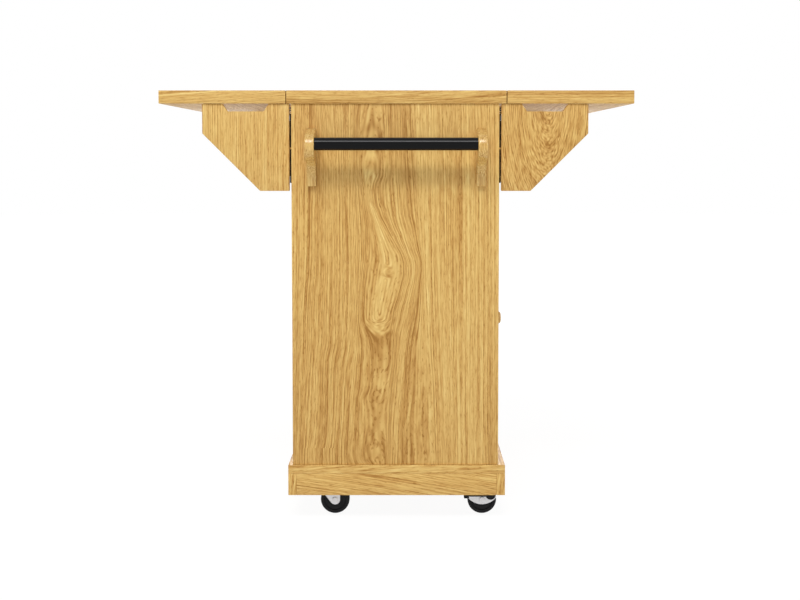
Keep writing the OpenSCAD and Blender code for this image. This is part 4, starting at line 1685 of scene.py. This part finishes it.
    def pedal(self) -> bpy.types.Object:
        """Build the brake pedal: two side plates, a front bar, two pads and the shoe.

        Returns:
            The piece.
        """
        solid = Solid()
        inner, outer = self.pedal_inner, self.pedal_inner + self.pedal_thickness
        for side in (-1, 1):
            low, high = sorted((side * inner, side * (inner + self.pad_width)))
            thin = sorted((side * inner, side * outer))
            solid.plate(self.pedal_outline(), Axis.Y, *thin, 0.6, 2)
            solid.box((36, low, 51.9), (54, high, 54.4), 0.6, 2)
            for rib in range(self.pad_ribs):
                x = 38.5 + rib * 4.2
                solid.box((x, low + 1, 54.0), (x + 1.4, high - 1, 54.9), 0.3, 2)
            solid.box((2, thin[0], 60), (14, thin[1], 67.5), 0.4, 2)
        solid.box((-14, -outer, 36), (-11.5, outer, 53), 0.6, 2)
        solid.box((9, -outer, 64.5), (14, outer, 67.5), 0.4, 2)
        return self.dress(solid, f"brake_pedal_{END_NAMES[self.end]}", "nylon", "brake",
                          "pedal_black", NYLON_BLACK, 32.0)

    def build(self) -> list[bpy.types.Object]:
        """Build the caster's moving parts.

        Returns:
            The pieces.
        """
        made = [self.fork(), self.wheel(), self.bolts()]
        if self.braked:
            made.append(self.pedal())
        return made


@dataclass
class CasterMounts:
    """What holds the casters: the plates with race and kingpin, and their screws."""

    plate: tuple[float, float, float] = (70.0, 60.0, 2.5)
    bottom: float = 83.0
    race_radius: float = 20.0
    race_low: float = 77.3
    head: tuple[float, float, float] = (7.0, 71.5, 74.2)
    screw_at: tuple[float, float] = (27.0, 22.0)
    screw_radius: float = 2.2
    screw_length: float = 14.0
    casters: tuple[Caster, ...] = ()

    def plates(self) -> bpy.types.Object:
        """Build the four plates.

        Returns:
            The piece.
        """
        one = Solid()
        x, y = self.plate[0] / 2, self.plate[1] / 2
        corners = rounded([(-x, -y, 5), (x, -y, 5), (x, y, 5), (-x, y, 5)])
        one.plate(corners, Axis.Z, self.bottom, self.bottom + self.plate[2], 0.4, 2)
        low, radius, head = self.race_low, self.race_radius, self.head
        one.turned([(0, head[1] + 0.4), (1.5, head[1]), (head[0] - 1, head[1]),
                    (head[0], head[1] + 0.9), (head[0], head[2]), (4.0, head[2]), (4.0, low),
                    (radius - 2, low), (radius - 1.2, low + 0.2), (radius, low + 2.0),
                    (radius, self.bottom), (0, self.bottom)],
                   (0, 0, 0), Axis.Z, 64)
        whole = Solid()
        whole.take(one, [caster.place() for caster in self.casters])
        return whole.finish("caster_plates", "steel", "cabinet", "zinc_plate", [ZINC], 32.0)

    def screws(self) -> bpy.types.Object:
        """Build the sixteen pan head screws, each with its cross recess underneath.

        Returns:
            The piece.
        """
        one = Solid()
        top = self.bottom + self.screw_length + 1.5
        one.rod((0, 0, self.bottom), (0, 0, top), self.screw_radius, 24)
        over = Matrix.Rotation(math.pi, 4, "X")
        one.screws(4.4, 2.0, [Matrix.Translation((0, 0, self.bottom)) @ over])
        whole = Solid()
        across, along = self.screw_at
        places = [caster.place() @ Matrix.Translation((a * across, b * along, 0))
                  for caster in self.casters for a in (-1, 1) for b in (-1, 1)]
        whole.take(one, places)
        return whole.finish("caster_screws", "steel", "cabinet", "zinc_plate", [ZINC])

    def build(self) -> list[bpy.types.Object]:
        """Build the plates and their screws."""
        return [self.plates(), self.screws()]


@dataclass
class Studio:
    """A white floor and room, soft lamps round the island, and the camera."""

    lens: float = 58.61
    pitch: float = 3.44
    camera_at: tuple[float, float, float] = (26.0, -3230.0, 797.0)
    shift: tuple[float, float] = (-0.0108, -0.087)
    # Name, power, size, angle round the island from its near end, height angle and distance
    lamps: tuple[tuple[str, float, tuple[float, float], float, float, float], ...] = (
        ("key", 152.0, (4.4, 3.4), -8.0, 52.0, 6.5),
        ("heart of the key", 130.0, (3.0, 0.9), -8.0, 50.0, 6.3),
        ("fill", 38.0, (1.6, 0.8), 0.0, 1.0, 4.0),
        ("right side", 74.0, (2.6, 2.0), 100.0, 9.0, 4.5),
        ("left side", 66.0, (2.6, 2.0), -100.0, 9.0, 4.5),
        ("far side", 84.0, (2.6, 2.0), 180.0, 12.0, 4.5),
    )
    # Up to this height angle a lamp stands at eye level, and shiny pieces don't show it
    eye_level: float = 5.0
    # The point that the lamps face, in metres
    aim: tuple[float, float, float] = (0.0, -0.40, 0.6)
    room_strength: float = 0.16
    # The floor's size in metres, how light it is where it lights the object and where it
    # takes the shadow, and how its glow rises with the distance in metres
    floor_radius: float = 14.0
    floor_grey: float = 0.8
    shadow_grey: float = 0.09
    glow_near: float = 0.94
    glow_reach: tuple[float, float] = (0.9, 2.4)

    def seen(self, tree: bpy.types.NodeTree) -> bpy.types.Node:
        """Add what tells a ray that shows the room from one that lights the object.

        Args:
            tree: the node tree to add to.

        Returns:
            The node, which gives 1 for a ray that shows the room.
        """
        path = add(tree, "LightPath").outputs
        shown = add(tree, "Math", {0: path["Is Camera Ray"], 1: path["Is Glossy Ray"]},
                    operation="MAXIMUM")
        return add(tree, "Math", {0: shown, 1: path["Is Transmission Ray"]}, operation="MAXIMUM")

    def room(self) -> None:
        """Make the world: plain white, at a lower level where it lights surfaces."""
        world = bpy.data.worlds.new("white room")
        bpy.context.scene.world = world
        tree = cleared(world)
        level = add(tree, "MapRange", {0: self.seen(tree), 3: self.room_strength, 4: 1.0})
        light = add(tree, "Background", {"Color": WHITE, "Strength": level})
        add(tree, "OutputWorld", {"Surface": light})

    def floor(self) -> None:
        """Make the floor: white where it is seen, with the object's soft shadow kept."""
        bm = bmesh.new()
        bmesh.ops.create_circle(bm, cap_ends=True, segments=96, radius=self.floor_radius)
        mesh = bpy.data.meshes.new("floor")
        bm.to_mesh(mesh)
        bm.free()
        made = bpy.data.materials.new("white studio floor")
        tree = cleared(made)
        # The glow rises to full white away from the object, so the floor meets the room
        place = add(tree, "TexCoord").outputs["Object"]
        away = add(tree, "VectorMath", {0: place}, operation="LENGTH").outputs["Value"]
        near, far = self.glow_reach
        glow = add(tree, "MapRange", {0: away, 1: near, 2: far, 3: self.glow_near, 4: 1.0},
                   interpolation_type="SMOOTHSTEP")
        plain, lit = (add(tree, "BsdfDiffuse", {"Color": (grey, grey, grey, 1)})
                      for grey in (self.floor_grey, self.shadow_grey))
        shine = add(tree, "Emission", {"Color": WHITE, "Strength": glow})
        shown = add(tree, "AddShader", {0: lit, 1: shine})
        both = add(tree, "MixShader", {0: self.seen(tree), 1: plain, 2: shown})
        add(tree, "OutputMaterial", {"Surface": both})
        mesh.materials.append(made)
        show(bpy.data.objects.new("floor", mesh))

    def lamp(self, name: str, power: float, size: tuple[float, float], around: float, height: float,
             apart: float) -> None:
        """Hang a soft lamp that faces the near end's middle.

        Args:
            name: its name.
            power: its power in watts.
            size: its width and height in metres.
            around: its angle round the island in degrees, from the near end towards the front.
            height: the angle in degrees at which it stands over the near end's middle.
            apart: how far it is from there, in metres.
        """
        lamp = bpy.data.lights.new(name, "AREA")
        lamp.shape = "RECTANGLE"
        lamp.size, lamp.size_y = size
        lamp.energy = power
        turn = Euler((math.radians(-height), 0, math.radians(around)))
        away = turn.to_matrix() @ Vector((0, -apart, 0))
        hung = show(bpy.data.objects.new(name, lamp))
        hung.location = Vector(self.aim) + away
        hung.rotation_euler = away.to_track_quat("Z", "Y").to_euler()
        hung.visible_glossy = height > self.eye_level

    def camera(self) -> None:
        """Stand the camera where the photograph's view is."""
        data = bpy.data.cameras.new("camera")
        data.lens, data.sensor_width = self.lens, 36.0
        data.shift_x, data.shift_y = self.shift
        stood = show(bpy.data.objects.new("camera", data))
        stood.location = Vector(self.camera_at) * MM + Vector((0, MIDDLE_Y, 0))
        stood.rotation_euler = (math.radians(90 - self.pitch), 0, 0)
        bpy.context.scene.camera = stood

    def build(self) -> None:
        """Set up the studio."""
        self.room()
        self.floor()
        for lamp in self.lamps:
            self.lamp(*lamp)
        self.camera()
        bpy.context.scene.view_settings.view_transform = "Standard"


def main() -> None:
    """Build the island's sub-assemblies in order, then the studio."""
    logging.basicConfig(level=logging.INFO, format="%(name)s: %(message)s")
    casters = tuple(Caster(*corner) for corner in CORNERS)
    assemblies = [
        Worktop(), Cabinet(), Plinth(), *(FoldOutBracket(*corner) for corner in CORNERS),
        TowelRail(), Door(NEAR), Door(FAR), Catches(), Hinges(), CasterMounts(casters=casters),
        *casters,
    ]
    for assembly in assemblies:
        for piece in assembly.build():
            LOG.info("%s: %d faces", piece.name, len(piece.data.polygons))
    Studio().build()


if __name__ == "__main__":
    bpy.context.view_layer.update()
    main()
